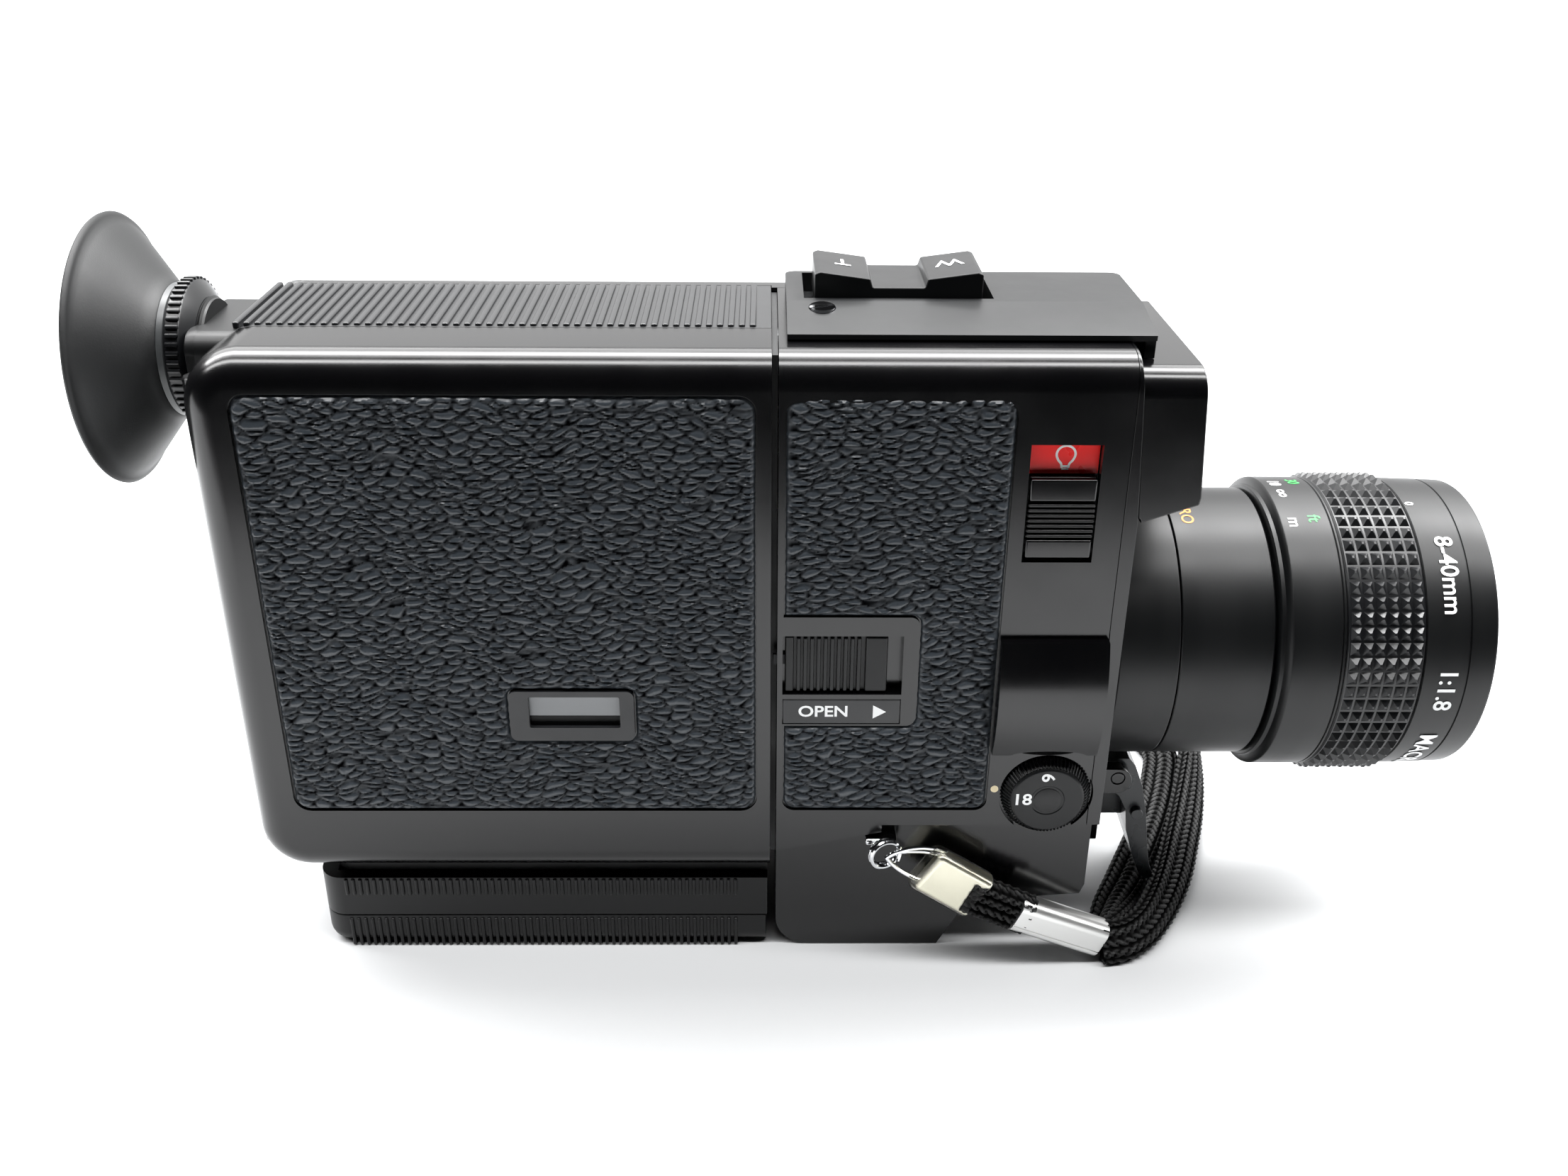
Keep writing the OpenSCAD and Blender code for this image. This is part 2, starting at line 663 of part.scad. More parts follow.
module zoom_rocker() {
    x = rocker_x();
    y0 = rocker_y() - rocker_w / 2;
    key = 8.2;
    arm = rocker_l / 2;
    color("#2a2b2e") difference() {
        translate([x, y0 + rocker_w, body_top]) rotate([90, 0, 0]) linear_extrude(rocker_w)
            polygon([[-arm, 1.2], [arm, 1.2], [arm, 6.4], [arm - 0.8, 6.7], [arm - key, 5.7],
                [arm - key - 0.4, 4.4],
                [-arm + key + 0.4, 4.4], [-arm + key, 5.7], [-arm + 0.8, 6.7], [-arm, 6.4]]);
        rod_y(y0 - 1, y0 + rocker_w + 1, x, rocker_z(), 0.8 + hair);
    }
    color("#2a2b2e") difference() {
        rod_y(y0, y0 + rocker_w, x, rocker_z(), 2);
        rod_y(y0 - 1, y0 + rocker_w + 1, x, rocker_z(), 0.8 + hair);
    }
}

module rocker_pin() {
    color("silver") rod_y(rocker_y() - rocker_w / 2 - 2.6, rocker_y() + rocker_w / 2 + 2.4, rocker_x(),
        rocker_z(), 0.8);
}

module hood() {
    x0 = front_x + 0.9;
    x1 = front_x + 9.4;
    half = half_w - 2;
    z0 = axis_h + barrel_r + 4.4;
    z1 = body_top - 2.5;
    window = 12;
    color("#1c1d20") difference() {
        intersection() {
            bar_x(x0 - 3, x1, half, z0 - 8, z1, 4);
            translate([0, half_w, 0]) rotate([90, 0, 0]) linear_extrude(body_w)
                polygon([[x0, z0], [x1 - 0.2, z0 + 2.9], [x1, z0 + 4], [x1 - 1.4, z1], [x0 - 2.1, z1],
                    [x0 - 0.4, axis_h + 27.2], [x0, axis_h + 27]]);
        }
        // the window's deep seat
        block([x0 - 3, -window, z1 - 15], [x1 - 1.5, window, z1 - 4]);
        block([x0, -window + 2, z1 - 14], [x1 + 1, window - 2, z1 - 5]);
        rod_x(x0 - 5, x1 + 1, 0, axis_h, barrel_r + 0.6);
    }
}

module meter_window() {
    z1 = body_top - 2.5;
    color("#53616b") block([front_x + 6.1, -11.8, z1 - 14.8], [front_x + 7.7, 11.8, z1 - 4.2]);
}

module exposure_meter() {
    color("#6b6e73") rod_x(front_x - 16, front_x - 5, -10, body_top - 14, 5.6);
    color("#9a6b3a") block([front_x - 19, -12.4, body_top - 16.4], [front_x - 16, -7.6, body_top - 11.6]);
}

module circuit_board() {
    y = half_w - wall - 1.4;
    color("#1f5a34") block([seam_x + 3, y - 1.2, step_h + wall + 1], [front_x - 9, y, axis_h - 4]);
    color("#2b2b2b") for (k = [0:2])
        block([seam_x + 7 + k * 11, y, step_h + wall + 5],
            [seam_x + 14 + k * 11, y + 1.1, step_h + wall + 11]);
}

// ---------- lens ----------

module lens_flange() {
    color("#1a1b1d") difference() {
        union() {
            rod_x(front_x + 0.02, flange_x - 0.3, 0, axis_h, barrel_r);
            rod_x(front_x - plate_t, front_x + 1, 0, axis_h, tube_r + 3.15);
        }
        rod_x(front_x - 5, nose_x, 0, axis_h, tube_r + 2.4);
    }
}

// fixed tube that the two rings turn on
module lens_tube() {
    color("#55585c") {
        difference() {
            union() {
                rod_x(front_x - 14, scale_x + 5, 0, axis_h, tube_r);
                rod_x(front_x - 15.5, front_x - 12.5, 0, axis_h, tube_r + 2);
            }
            rod_x(front_x - 20, nose_x, 0, axis_h, tube_r - 1.6);
        }
    }
}

module zoom_ring() {
    color("#1b1c1e") difference() {
        union() {
            rod_x(flange_x, zoom_x - 0.4, 0, axis_h, barrel_r);
            rod_x(zoom_gear_x + 2, flange_x + 1, 0, axis_h, tube_r + 2.1);
            lens_gear(0, axis_h, zoom_teeth, 0, 2.4);
        }
        rod_x(front_x - 15, nose_x, 0, axis_h, tube_r + hair);
    }
}

module focus_ring() {
    color("#1d1e20") difference() {
        union() {
            rod_x(zoom_x, zoom_x + 1.2, 0, axis_h, scale_r - 1);
            rod_x(zoom_x + 1.2, scale_x, 0, axis_h, scale_r);
            rod_x(scale_x - 0.5, knurl_x, 0, axis_h, scale_r - 2.2);
        }
        rod_x(zoom_x - 1, scale_x + 5.4, 0, axis_h, tube_r + hair);
        rod_x(scale_x + 5.3, nose_x, 0, axis_h, thread_r - 2);
    }
}

module focus_grip() {
    rows = 36;
    color("#161719") difference() {
        union() {
            tube_x(scale_x + 0.02, knurl_x, 0, axis_h, knurl_r - 0.5, scale_r - 2.18);
            for (k = [0 : rows - 1]) translate([scale_x + 0.6, 0, axis_h]) rotate([k * 360 / rows, 0, 0])
                translate([0, -0.7, knurl_r - 1]) cube([knurl_l - 1.2, 1.4, 1]);
        }
    }
}

module front_ring() {
    color("#1a1b1d") difference() {
        translate([knurl_x + 0.02, 0, axis_h]) rotate([0, 90, 0])
            cylinder(r1 = nose_r + 0.3, r2 = nose_r, h = nose_l - 0.02, $fn = 96);
        rod_x(nose_x - 4.5, nose_x + 1, 0, axis_h, thread_r);
        rod_x(knurl_x - 1, nose_x, 0, axis_h, thread_r - 3);
    }
}

module front_lens() {
    r = thread_r - 3.05;
    bow = 30;
    x = nose_x - 10;
    color("#3a4a66") intersection() {
        rod_x(x - 6, x + 8, 0, axis_h, r);
        translate([x + 5 - bow, 0, axis_h]) sphere(r = bow, $fn = 96);
    }
}

module zoom_lens() {
    x = front_x + 4;
    color("#777a80") tube_x(x, x + 9, 0, axis_h, tube_r - 1.6 - hair, 10);
    color("#5f7391") rod_x(x + 2, x + 7, 0, axis_h, 10);
}

module rear_lens() {
    x = front_x - 12;
    color("#777a80") tube_x(x, x + 6, 0, axis_h, tube_r - 1.62, 6.5);
    color("#5f7391") rod_x(x + 1.5, x + 4.5, 0, axis_h, 6.5);
}

module optical_block() {
    x0 = seam_x + 8;
    x1 = front_x - 15.6;
    color("#4b4e52") difference() {
        union() {
            block([x0, -11, axis_h - 11], [x1, 11, axis_h + 11]);
            block([x1 - 2.5, -15, axis_h - 15], [x1, 11, axis_h + 15]);
        }
        rod_x(x0 - 1, x1 + 1, 0, axis_h, 6);
        block([x1 - 13.5, -6.2, axis_h - 6.2], [x1 - 2.4, 6.2, axis_h + 12]);
    }
}

module beam_prism() {
    x1 = front_x - 15.6 - 2.9;
    color("#8fa6b8") block([x1 - 10, -5, axis_h - 5], [x1, 5, axis_h + 5]);
}

module film_gate() {
    color("silver") difference() {
        block([door_front + 0.05, -9, axis_h - 16], [seam_x + 0.6, 9, axis_h + 16]);
        block([door_front - 1, -2.9, axis_h - 2.1], [seam_x + 2, 2.9, axis_h + 2.1]);
    }
}

module shutter_disc() {
    x = seam_x + 3;
    y = -3;
    z = axis_h - 8;
    color("#303235") {
        difference() {
            rod_x(x, x + 0.6, y, z, 12.6);
            intersection() {
                block([x - 1, y - 20, z], [x + 2, y + 20, z + 20]);
                tube_x(x - 1, x + 2, y, z, 20, 4);
            }
        }
    }
    color("silver") rod_x(x - 1.8, x + 4.6, y, z, 1);
}

// ---------- drive ----------

module drive_motor() {
    color("#8a8d91") difference() {
        rod_y(gears_y - 2.4 - motor_l, gears_y - 2.4, motor_x, motor_z, motor_r);
        rod_y(gears_y - 8, gears_y, motor_x, motor_z, 1 + hair);
    }
}

module motor_pinion() {
    dir = atan2(idler_z - motor_z, idler_x - motor_x);
    color("goldenrod") drive_gear(motor_x, motor_z, pinion_teeth, dir);
    color("silver") rod_y(gears_y - 6, gears_y + 0.5, motor_x, motor_z, 1);
}

module idler_gear() {
    dir = atan2(idler_z - motor_z, idler_x - motor_x);
    color("ivory") {
        difference() {
            drive_gear(idler_x, idler_z, idler_teeth, mesh_angle(dir, dir, pinion_teeth, idler_teeth));
            for (a = [0:60:300]) rod_y(gears_y - 1, gears_y + gear_t + 1,
                idler_x + idler_r * 0.6 * cos(a), idler_z + idler_r * 0.6 * sin(a), idler_r * 0.2);
        }
    }
    color("silver") rod_y(gears_y - 2.2, gears_y + 0.5, idler_x, idler_z, 1.5);
}

module takeup_spindle() {
    dir_mi = atan2(idler_z - motor_z, idler_x - motor_x);
    dir_it = atan2(spindle_z - idler_z, spindle_x - idler_x);
    first = mesh_angle(dir_mi, dir_mi, pinion_teeth, idler_teeth);
    color("ivory") drive_gear(spindle_x, spindle_z, takeup_teeth,
        mesh_angle(dir_it, first, idler_teeth, takeup_teeth));
    color("#d8d8d8") {
        rod_y(back_y - 0.3, gears_y + 0.5, spindle_x, spindle_z, 2);
        rod_y(back_y - 2.6, back_y - 0.2, spindle_x, spindle_z, spindle_r);
        for (a = [0:120:240]) translate([spindle_x, back_y - 1.4, spindle_z]) rotate([0, a, 0])
            translate([spindle_r - 0.3, -1.2, -0.5]) cube([1.3, 2.4, 1]);
    }
}

module gear_plate() {
    color("#6b6e72") difference() {
        union() {
            block([seam_x + 1, gears_y - 2.2, axis_h + 20], [front_x - 10, gears_y - 0.8, body_top - 14]);
            block([seam_x + 1, gears_y - 2.2, axis_h - 10], [seam_x + 13, gears_y - 0.8, axis_h + 21]);
        }
        rod_y(gears_y - 3, gears_y, motor_x, motor_z, 1 + hair);
        rod_y(gears_y - 3, gears_y, idler_x, idler_z, 1.5 + hair);
    }
}

module zoom_motor() {
    y = zoom_mesh * cos(zoom_mesh_a);
    z = axis_h + zoom_mesh * sin(zoom_mesh_a);
    color("#8a8d91") difference() {
        rod_x(zoom_gear_x - 15, zoom_gear_x - 1.4, y, z, 3.4);
        rod_x(zoom_gear_x - 6, zoom_gear_x, y, z, 0.8 + hair);
    }
}

module zoom_pinion() {
    y = zoom_mesh * cos(zoom_mesh_a);
    z = axis_h + zoom_mesh * sin(zoom_mesh_a);
    color("goldenrod") lens_gear(y, z, zoom_pinion_teeth,
        mesh_angle(zoom_mesh_a, 0, zoom_teeth, zoom_pinion_teeth), 2);
    color("silver") rod_x(zoom_gear_x - 5, zoom_gear_x + 2.4, y, z, 0.8);
}

// ---------- finder ----------

module finder_tube() {
    color("#3b3d40") tube_x(rear_x + 4, front_x - 22, 0, eye_z, finder_r, finder_r - 0.9);
}

module eyepiece_tube() {
    color("#1b1c1e") difference() {
        union() {
            intersection() {
                bar_x(rear_x - 1.6, rear_x, 11, eye_z - 9.4, body_top - 0.6, 3);
                block([rear_x - 2, -12, 0], [rear_x - 0.02, 12, body_top + 4]);
            }
            rod_x(cup_x + 0.8, rear_x - 1, 0, eye_z, 7.6);
            rod_x(rear_x - 0.5, rear_x + 3.9, 0, eye_z, finder_r);
        }
        rod_x(cup_x - 1, rear_x + 5, 0, eye_z, finder_r - 1);
    }
}

module dioptre_ring() {
    teeth = 40;
    color("#1a1b1d") difference() {
        union() {
            rod_x(cup_x, dioptre_x, 0, eye_z, dioptre_r - 0.35);
            for (k = [0 : teeth - 1]) translate([cup_x, 0, eye_z]) rotate([k * 360 / teeth, 0, 0])
                translate([0, -0.35, dioptre_r - 0.8]) cube([dioptre_w, 0.7, 0.8]);
            rod_x(cup_x - 2.6, cup_x + 0.1, 0, eye_z, 7.2);
        }
        rod_x(cup_x + 0.5, dioptre_x + 1, 0, eye_z, 7.6 + hair);
        rod_x(cup_x - 4, cup_x + 1, 0, eye_z, 5.4);
    }
    color("#5f7391") rod_x(cup_x - 2, cup_x - 0.4, 0, eye_z, 5.4);
}

module eyecup() {
    neck = 10.4;
    t = 1.2;
    color("#2b2c2e") translate([cup_x, 0, eye_z]) rotate([0, -90, 0]) rotate_extrude() polygon([
        [7.25, 0.05], [neck, 0.05], [neck + 0.5, 1.2], [neck + 3.6, cup_l * 0.38],
            [cup_r - 1.8, cup_l * 0.82],
        [cup_r, cup_l - 0.5], [cup_r - 0.3, cup_l], [cup_r - t - 0.5, cup_l - 0.6],
        [neck + 2.6, cup_l * 0.38 + t], [neck - 0.6, 2.6], [7.25, 2.6]]);
}

// ---------- film door ----------

module film_door() {
    color("#1c1d1f") difference() {
        union() {
            difference() {
                intersection() {
                    film_solid(0);
                    union() {
                        block([rear_x - 1, -half_w - 1, foot_h - 1],
                            [door_front, hinge_y + 0.2, body_top + 1]);
                        block([rear_x - 1, -half_w - 1, body_top - wall],
                            [door_front, lid_y, body_top + 1]);
                    }
                }
                intersection() {
                    film_solid(wall);
                    block([rear_x, -half_w, foot_h], [door_front + 1, half_w, body_top - wall]);
                }
                // strip taken by the knuckles
                block([rear_x - 1, hinge_y - 0.5, foot_h - 1],
                    [hinge_x + knuckle_r + 1, hinge_y + 3, body_top - wall]);
                for (k = [1, 3]) block([rear_x - 1, hinge_y - knuckle_r - 0.4, knuckle_z(k) - fit],
                    [hinge_x + knuckle_r + 1, hinge_y + 3, knuckle_z(k + 1)]);
            }
            for (k = [0, 2, 4]) {
                rod_z(knuckle_z(k), knuckle_z(k + 1) - fit, hinge_x, hinge_y, knuckle_r);
                block([rear_x + 0.05, hinge_y - knuckle_r - 0.6, knuckle_z(k)],
                    [hinge_x + 0.9, hinge_y, knuckle_z(k + 1) - fit]);
            }
            // seat behind the film window
            block([seam_x - 45, side_y + 0.5, axis_h - 11.5], [seam_x - 18, side_y + 2.4, axis_h + 1]);
        }
        rod_z(foot_h - 1, body_top - wall, hinge_x, hinge_y, hinge_pin_r + hair);
        plate_y(rear_x + 7.4, door_front - 2.1, foot_h + 12.8, body_top - 6.4, side_y - 1,
            side_y + leather_t - leather_up, 2.6);
        // film window
        block([seam_x - 38.2, side_y - 1, axis_h - 6.6], [seam_x - 24.2, side_y + 4, axis_h - 2.4]);
    }
}

module hinge_pin() {
    color("silver") rod_z(knuckle_z(0) + 0.5, knuckle_z(5) - 1, hinge_x, hinge_y, hinge_pin_r);
}

module door_leather() {
    color("#26272a") difference() {
        plate_y(rear_x + 7.45, door_front - 2.15, foot_h + 12.85, body_top - 6.45,
            side_y - leather_up, side_y + leather_t - leather_up - 0.02, 2.55);
        plate_y(seam_x - 41.3, seam_x - 21.9, axis_h - 9.9, axis_h - 0.9, side_y - 2, side_y + 2, 0.8);
    }
}

module film_window() {
    color("#8f9498") block([seam_x - 38.15, side_y + 1, axis_h - 6.55],
        [seam_x - 24.25, side_y + 1.9, axis_h - 2.45]);
    color("#1c1d1f") difference() {
        plate_y(seam_x - 41.25, seam_x - 21.95, axis_h - 9.85, axis_h - 0.95,
            side_y - leather_up, side_y + leather_t - leather_up - 0.02, 0.75);
        block([seam_x - 38.2, side_y - 1, axis_h - 6.6], [seam_x - 24.2, side_y + 4, axis_h - 2.4]);
    }
}

module front_leather() {
    color("#26272a") difference() {
        plate_y(seam_x + 0.95, front_x - 18.65, step_h + 2.95, body_top - 6.45,
            side_y - leather_up, side_y + leather_t - leather_up - 0.02, 1.95);
        plate_y(seam_x - 2, latch_x + latch_l + 4.65, latch_z - 10.75, latch_z + 8.35, side_y - 2,
            side_y + 2, 1.4);
    }
}

module left_leather() {
    color("#26272a") plate_y(rear_x + 7.05, front_x - 18.45, foot_h + 12.55, body_top - 6.15,
        half_w - leather_t + leather_up + 0.02, half_w + leather_up, 2.55);
}

// ---------- controls ----------

module latch_slide() {
    y0 = side_y + 0.35;
    ribs = 8;
    ribbed = latch_l * 0.78;
    color("#222326") {
        block([latch_x, y0 + 0.8, latch_z - latch_h / 2],
            [latch_x + latch_l, side_y + 1.9, latch_z + latch_h / 2]);
        block([latch_x + ribbed, y0, latch_z - latch_h / 2],
            [latch_x + latch_l, y0 + 0.9, latch_z + latch_h / 2]);
        for (k = [0 : ribs - 1]) {
            x = latch_x + 0.5 + k * (ribbed - 0.9) / ribs;
            block([x, y0 - 0.1, latch_z - latch_h / 2], [x + 0.7, y0 + 0.9, latch_z + latch_h / 2]);
        }
    }
    color("silver") block([seam_x - seam_gap + 0.3, side_y + 1.3, latch_z - 1.2],
        [latch_x + 0.1, side_y + 2, latch_z + 1.8]);
}

module latch_label() {
    color("#1a1b1d") block([latch_x - 0.3, side_y - 0.05, latch_z - latch_h / 2 - 5.5],
        [latch_x + latch_l + latch_travel + 0.2, side_y + 0.68, latch_z - latch_h / 2 - 1.2]);
}

module filter_switch() {
    x0 = switch_x - switch_w / 2;
    z1 = switch_top - switch_travel - 0.4;
    z0 = z1 - switch_h;
    ribs = 6;
    color("#1d1e21") {
        block([x0, side_y + 0.7, z0], [x0 + switch_w, side_y + 1.6, z1]);
        block([x0, side_y - 0.3, z1 - 3.2], [x0 + switch_w, side_y + 0.8, z1]);
        block([x0, side_y - 0.3, z0], [x0 + switch_w, side_y + 0.8, z0 + 3]);
        for (k = [0 : ribs - 1]) {
            z = z0 + 3.5 + k * (switch_h - 6.6) / ribs;
            block([x0, side_y - 0.1, z], [x0 + switch_w, side_y + 0.8, z + 0.5]);
        }
    }
}

module lamp_window() {
    color("#c8141c") block([switch_x - switch_w / 2 - 0.25, side_y + 1.63,
        switch_top - switch_travel - 0.2],
        [switch_x + switch_w / 2 + 0.25, side_y + 1.88, switch_top - 0.2]);
}

module speed_dial() {
    teeth = 48;
    y1 = side_y + 0.75;
    color("#1b1c1e") {
        difference() {
            translate([dial_x, y1, dial_z]) rotate([90, 0, 0])
                cylinder(r1 = dial_r, r2 = dial_r - 1.3, h = 2.4);
            rod_y(side_y - 3, side_y - 1.4, dial_x, dial_z, 2.5);
        }
        rod_y(y1 - 0.1, side_y + wall + 2, dial_x, dial_z, 1.5);
    }
    color("#101112") rod_y(side_y - 1.5, side_y - 1.35, dial_x, dial_z, 2.5);
}

module trigger() {
    // blade seen from the side: front curve out, rear curve back
    color("#232427") difference() {
        translate([trig_x, trigger_w / 2, trig_z]) rotate([90, 0, 0]) linear_extrude(trigger_w)
            polygon([[0.6, 2.1], [2.4, 2.1], [3.6, 0.6], [5.3, -3.7], [6.6, -9.6], [7.7, -17.1],
                [8.5, -20.6], [9.4, -22.5],
                [9.1, -23.1], [8.1, -23.2], [6.8, -22.4], [4.9, -17.5], [3.4, -12.6], [2.9, -8.5],
                    [1.4, -5.5],
                [-1.6, -3.4], [-2.1, 0.6]]);
        rod_y(-trigger_w, trigger_w, trig_x, trig_z, trig_pin_r + hair);
    }
    // plunger that reaches into the guide
    color("#17181a") block([trig_x - 4.4, -3, trig_z - 12.3], [trig_x + 4.3, 3, trig_z - 6.8]);
    color("#0f1011") rod_y(-trigger_w / 2 - 1.2, trigger_w / 2 + 1.2, trig_x + 4.6, trig_z - 8.6, 1);
}

module trigger_guide() {
    color("#1a1b1d") difference() {
        block([front_x - 0.68, -5.5, trig_z - 16.2], [front_x + 4.4, 5.5, trig_z - 5.2]);
        block([front_x - 2, -4, trig_z - 15.4], [front_x + 5, 4, trig_z - 5.9]);
    }
    color("silver") rod_y(-trigger_w / 2 - 2.9, trigger_w / 2 + 2.9, trig_x, trig_z, trig_pin_r);
}

// ---------- strap ----------

module strap_lug() {
    color("silver") difference() {
        translate(lug_p) translate([-2.6, -2.8, -0.6]) cube([5.2, 2.8, 1.2]);
        translate(lug_p) translate([0, -1.5, -2]) cylinder(r = 0.95, h = 4);
    }
}

// split ring, wire link, vinyl sleeve over its crimp, and the short folded braid
module strap_fittings() {
    color("silver") {
        translate(lug_p + [0.6, -3.7, -1.4]) rotate([0, 35, 20]) rotate([90, 0, 0])
            rotate_extrude() translate([2.5, 0]) circle(r = 0.5, $fn = 16);
    }
    color("silver") along(link_p, sleeve_a) {
        for (s = [-1, 1]) hull() {
            sphere(r = 0.5, $fn = 12);
            translate([norm(sleeve_a - link_p) + 0.3, 0, s * 3.4]) sphere(r = 0.5, $fn = 12);
        }
    }
    color("#c9c29a") along(sleeve_a, sleeve_b)
        translate([0, -1.7, -4.4]) cube([norm(sleeve_b - sleeve_a), 3.4, 8.8]);
    color("#18191b") along(sleeve_b, ferrule_a)
        translate([0, -1.5, -3.3]) cube([norm(ferrule_a - sleeve_b), 3, 6.6]);
}

module strap_ferrule() {
    color("silver") along(ferrule_a, ferrule_b)
        translate([0.02, -ferrule_t / 2, -ferrule_h / 2])
            cube([norm(ferrule_b - ferrule_a) - 0.02, ferrule_t, ferrule_h]);
}

// a tube swept along the strap's centreline
module wrist_strap() {
    n = len(strap_route);
    sides = 8;
    r = strap_d / 2;
    tangent = [for (i = [0 : n - 1]) let(d = strap_route[min(i + 1, n - 1)] - strap_route[max(i - 1, 0)])
        d / norm(d)];
    ring = [for (i = [0 : n - 1]) let(t = tangent[i], u = [t[1], -t[0], 0] / norm([t[0], t[1]]),
        v = cross(t, u))
        for (k = [0 : sides - 1]) strap_route[i] + r * cos(k * 360 / sides) * u + r * sin(k * 360 / sides) * v];
    faces = concat(
        [for (i = [0 : n - 2], k = [0 : sides - 1])
            [i * sides + k, i * sides + (k + 1) % sides, (i + 1) * sides + (k + 1) % sides,
                (i + 1) * sides + k]],
        [[for (k = [sides - 1 : -1 : 0]) k], [for (k = [0 : sides - 1]) (n - 1) * sides + k]]);
    color("#141517") polyhedron(points = ring, faces = faces);
}

chassis();
left_cover();
top_cover();
front_cover();
front_plate();
base_block();
tripod_bush();
battery_housing();
battery_cover();
battery_cells();
battery_contacts();
top_plate();
cover_screws();
zoom_rocker();
rocker_pin();
hood();
meter_window();
exposure_meter();
circuit_board();
lens_flange();
lens_tube();
zoom_ring();
focus_ring();
focus_grip();
front_ring();
front_lens();
zoom_lens();
rear_lens();
optical_block();
beam_prism();
film_gate();
shutter_disc();
drive_motor();
motor_pinion();
idler_gear();
takeup_spindle();
gear_plate();
zoom_motor();
zoom_pinion();
finder_tube();
eyepiece_tube();
dioptre_ring();
eyecup();
film_door();
hinge_pin();
door_leather();
film_window();
front_leather();
left_leather();
latch_slide();
latch_label();
filter_switch();
lamp_window();
speed_dial();
trigger();
trigger_guide();
strap_lug();
strap_fittings();
strap_ferrule();
wrist_strap();
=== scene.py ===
import json
import math
import bmesh
import bpy
import numpy as np
from mathutils import Matrix, Vector


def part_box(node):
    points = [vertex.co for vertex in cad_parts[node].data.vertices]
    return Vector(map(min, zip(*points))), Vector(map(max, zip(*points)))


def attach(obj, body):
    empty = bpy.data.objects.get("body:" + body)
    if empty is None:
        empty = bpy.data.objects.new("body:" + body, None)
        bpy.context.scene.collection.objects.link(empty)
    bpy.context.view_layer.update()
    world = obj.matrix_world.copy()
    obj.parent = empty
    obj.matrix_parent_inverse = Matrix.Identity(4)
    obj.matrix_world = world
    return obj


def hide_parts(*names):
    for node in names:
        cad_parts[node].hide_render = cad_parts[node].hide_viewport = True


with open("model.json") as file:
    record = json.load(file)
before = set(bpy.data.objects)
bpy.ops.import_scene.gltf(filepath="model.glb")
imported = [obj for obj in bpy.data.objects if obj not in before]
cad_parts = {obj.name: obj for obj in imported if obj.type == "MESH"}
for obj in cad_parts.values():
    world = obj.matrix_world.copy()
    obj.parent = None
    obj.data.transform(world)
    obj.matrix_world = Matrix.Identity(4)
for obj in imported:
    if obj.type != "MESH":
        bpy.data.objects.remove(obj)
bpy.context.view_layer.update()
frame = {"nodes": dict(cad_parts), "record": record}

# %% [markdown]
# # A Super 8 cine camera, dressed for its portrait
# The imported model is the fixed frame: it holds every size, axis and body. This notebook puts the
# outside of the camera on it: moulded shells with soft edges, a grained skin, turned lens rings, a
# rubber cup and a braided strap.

MM = 0.001
bpy.ops.object.select_all(action="DESELECT")

# %% [markdown]
# Every place below comes from the frame. A node's box gives its lowest and highest corner, so the
# seam between door and lens section, the lens axis and the height of the top are read, not typed.

# %% Places read from the frame
def low(node):
    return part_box(node)[0]


def high(node):
    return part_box(node)[1]


def middle(node):
    return (low(node) + high(node)) / 2


REAR = low("film_door").x
DOOR_FRONT = high("film_door").x
SEAM = low("front_cover").x
FRONT = high("front_plate").x
SIDE = low("film_door").y
TOP = high("film_door").z
AXIS = Vector((0, 0, middle("zoom_ring").z))
EYE = Vector((0, 0, middle("eyecup").z))
print("seam", round(SEAM / MM, 2), "front", round(FRONT / MM, 2), "axis height", round(AXIS.z / MM, 2))

# %% [markdown]
# ## The camera that looks at it
# The view stands a little above the object and in front of its door, looking down by 27 degrees.
# Pitch, yaw and roll are turned in that order, which is how a tripod head is set.

# %% The viewing camera
PITCH, YAW, ROLL = 26.72, 0.87, 0.50
view_data = bpy.data.cameras.new("view_camera")
view_data.lens, view_data.sensor_width = 33.52, 36.0
view_data.clip_start, view_data.clip_end = 0.01, 50
view_camera = bpy.data.objects.new("view_camera", view_data)
bpy.context.collection.objects.link(view_camera)
view_camera.matrix_world = (
    Matrix.Translation(Vector((-17.0, -214.8, 165.8)) * MM)
    @ Matrix.Rotation(math.radians(-YAW), 4, "Z")
    @ Matrix.Rotation(math.radians(90 - PITCH), 4, "X")
    @ Matrix.Rotation(math.radians(ROLL), 4, "Z"))
bpy.context.scene.camera = view_camera
print("camera looks down by", PITCH, "degrees")

# %% [markdown]
# ## A maker's bench
# A few helpers do what a hand does in the viewport: pick one object, enter edit mode, select edges
# by their place, bevel, cut, and leave the finished mesh in place with its object at the origin.
# They are small, so each piece below still reads as a list of modelling steps.

# %% Selecting and editing
def only(obj):
    bpy.ops.object.select_all(action="DESELECT")
    obj.select_set(True)
    bpy.context.view_layer.objects.active = obj


def edit(obj):
    only(obj)
    bpy.ops.object.mode_set(mode="EDIT")
    bpy.ops.mesh.select_all(action="SELECT")


def leave():
    bpy.ops.object.mode_set(mode="OBJECT")


def settle(obj):
    """Moves the object's place into its mesh, so that it ends at the origin, unturned."""
    only(obj)
    bpy.ops.object.transform_apply(location=True, rotation=True, scale=True)
    return obj


def pick_edges(obj, rule):
    """In edit mode, selects the edges for which rule(middle, direction) is true."""
    bpy.ops.mesh.select_mode(type="EDGE")
    mesh = bmesh.from_edit_mesh(obj.data)
    for edge in mesh.edges:
        a, b = (v.co for v in edge.verts)
        edge.select_set(bool(rule((a + b) / 2, (b - a).normalized())))
    bmesh.update_edit_mesh(obj.data)


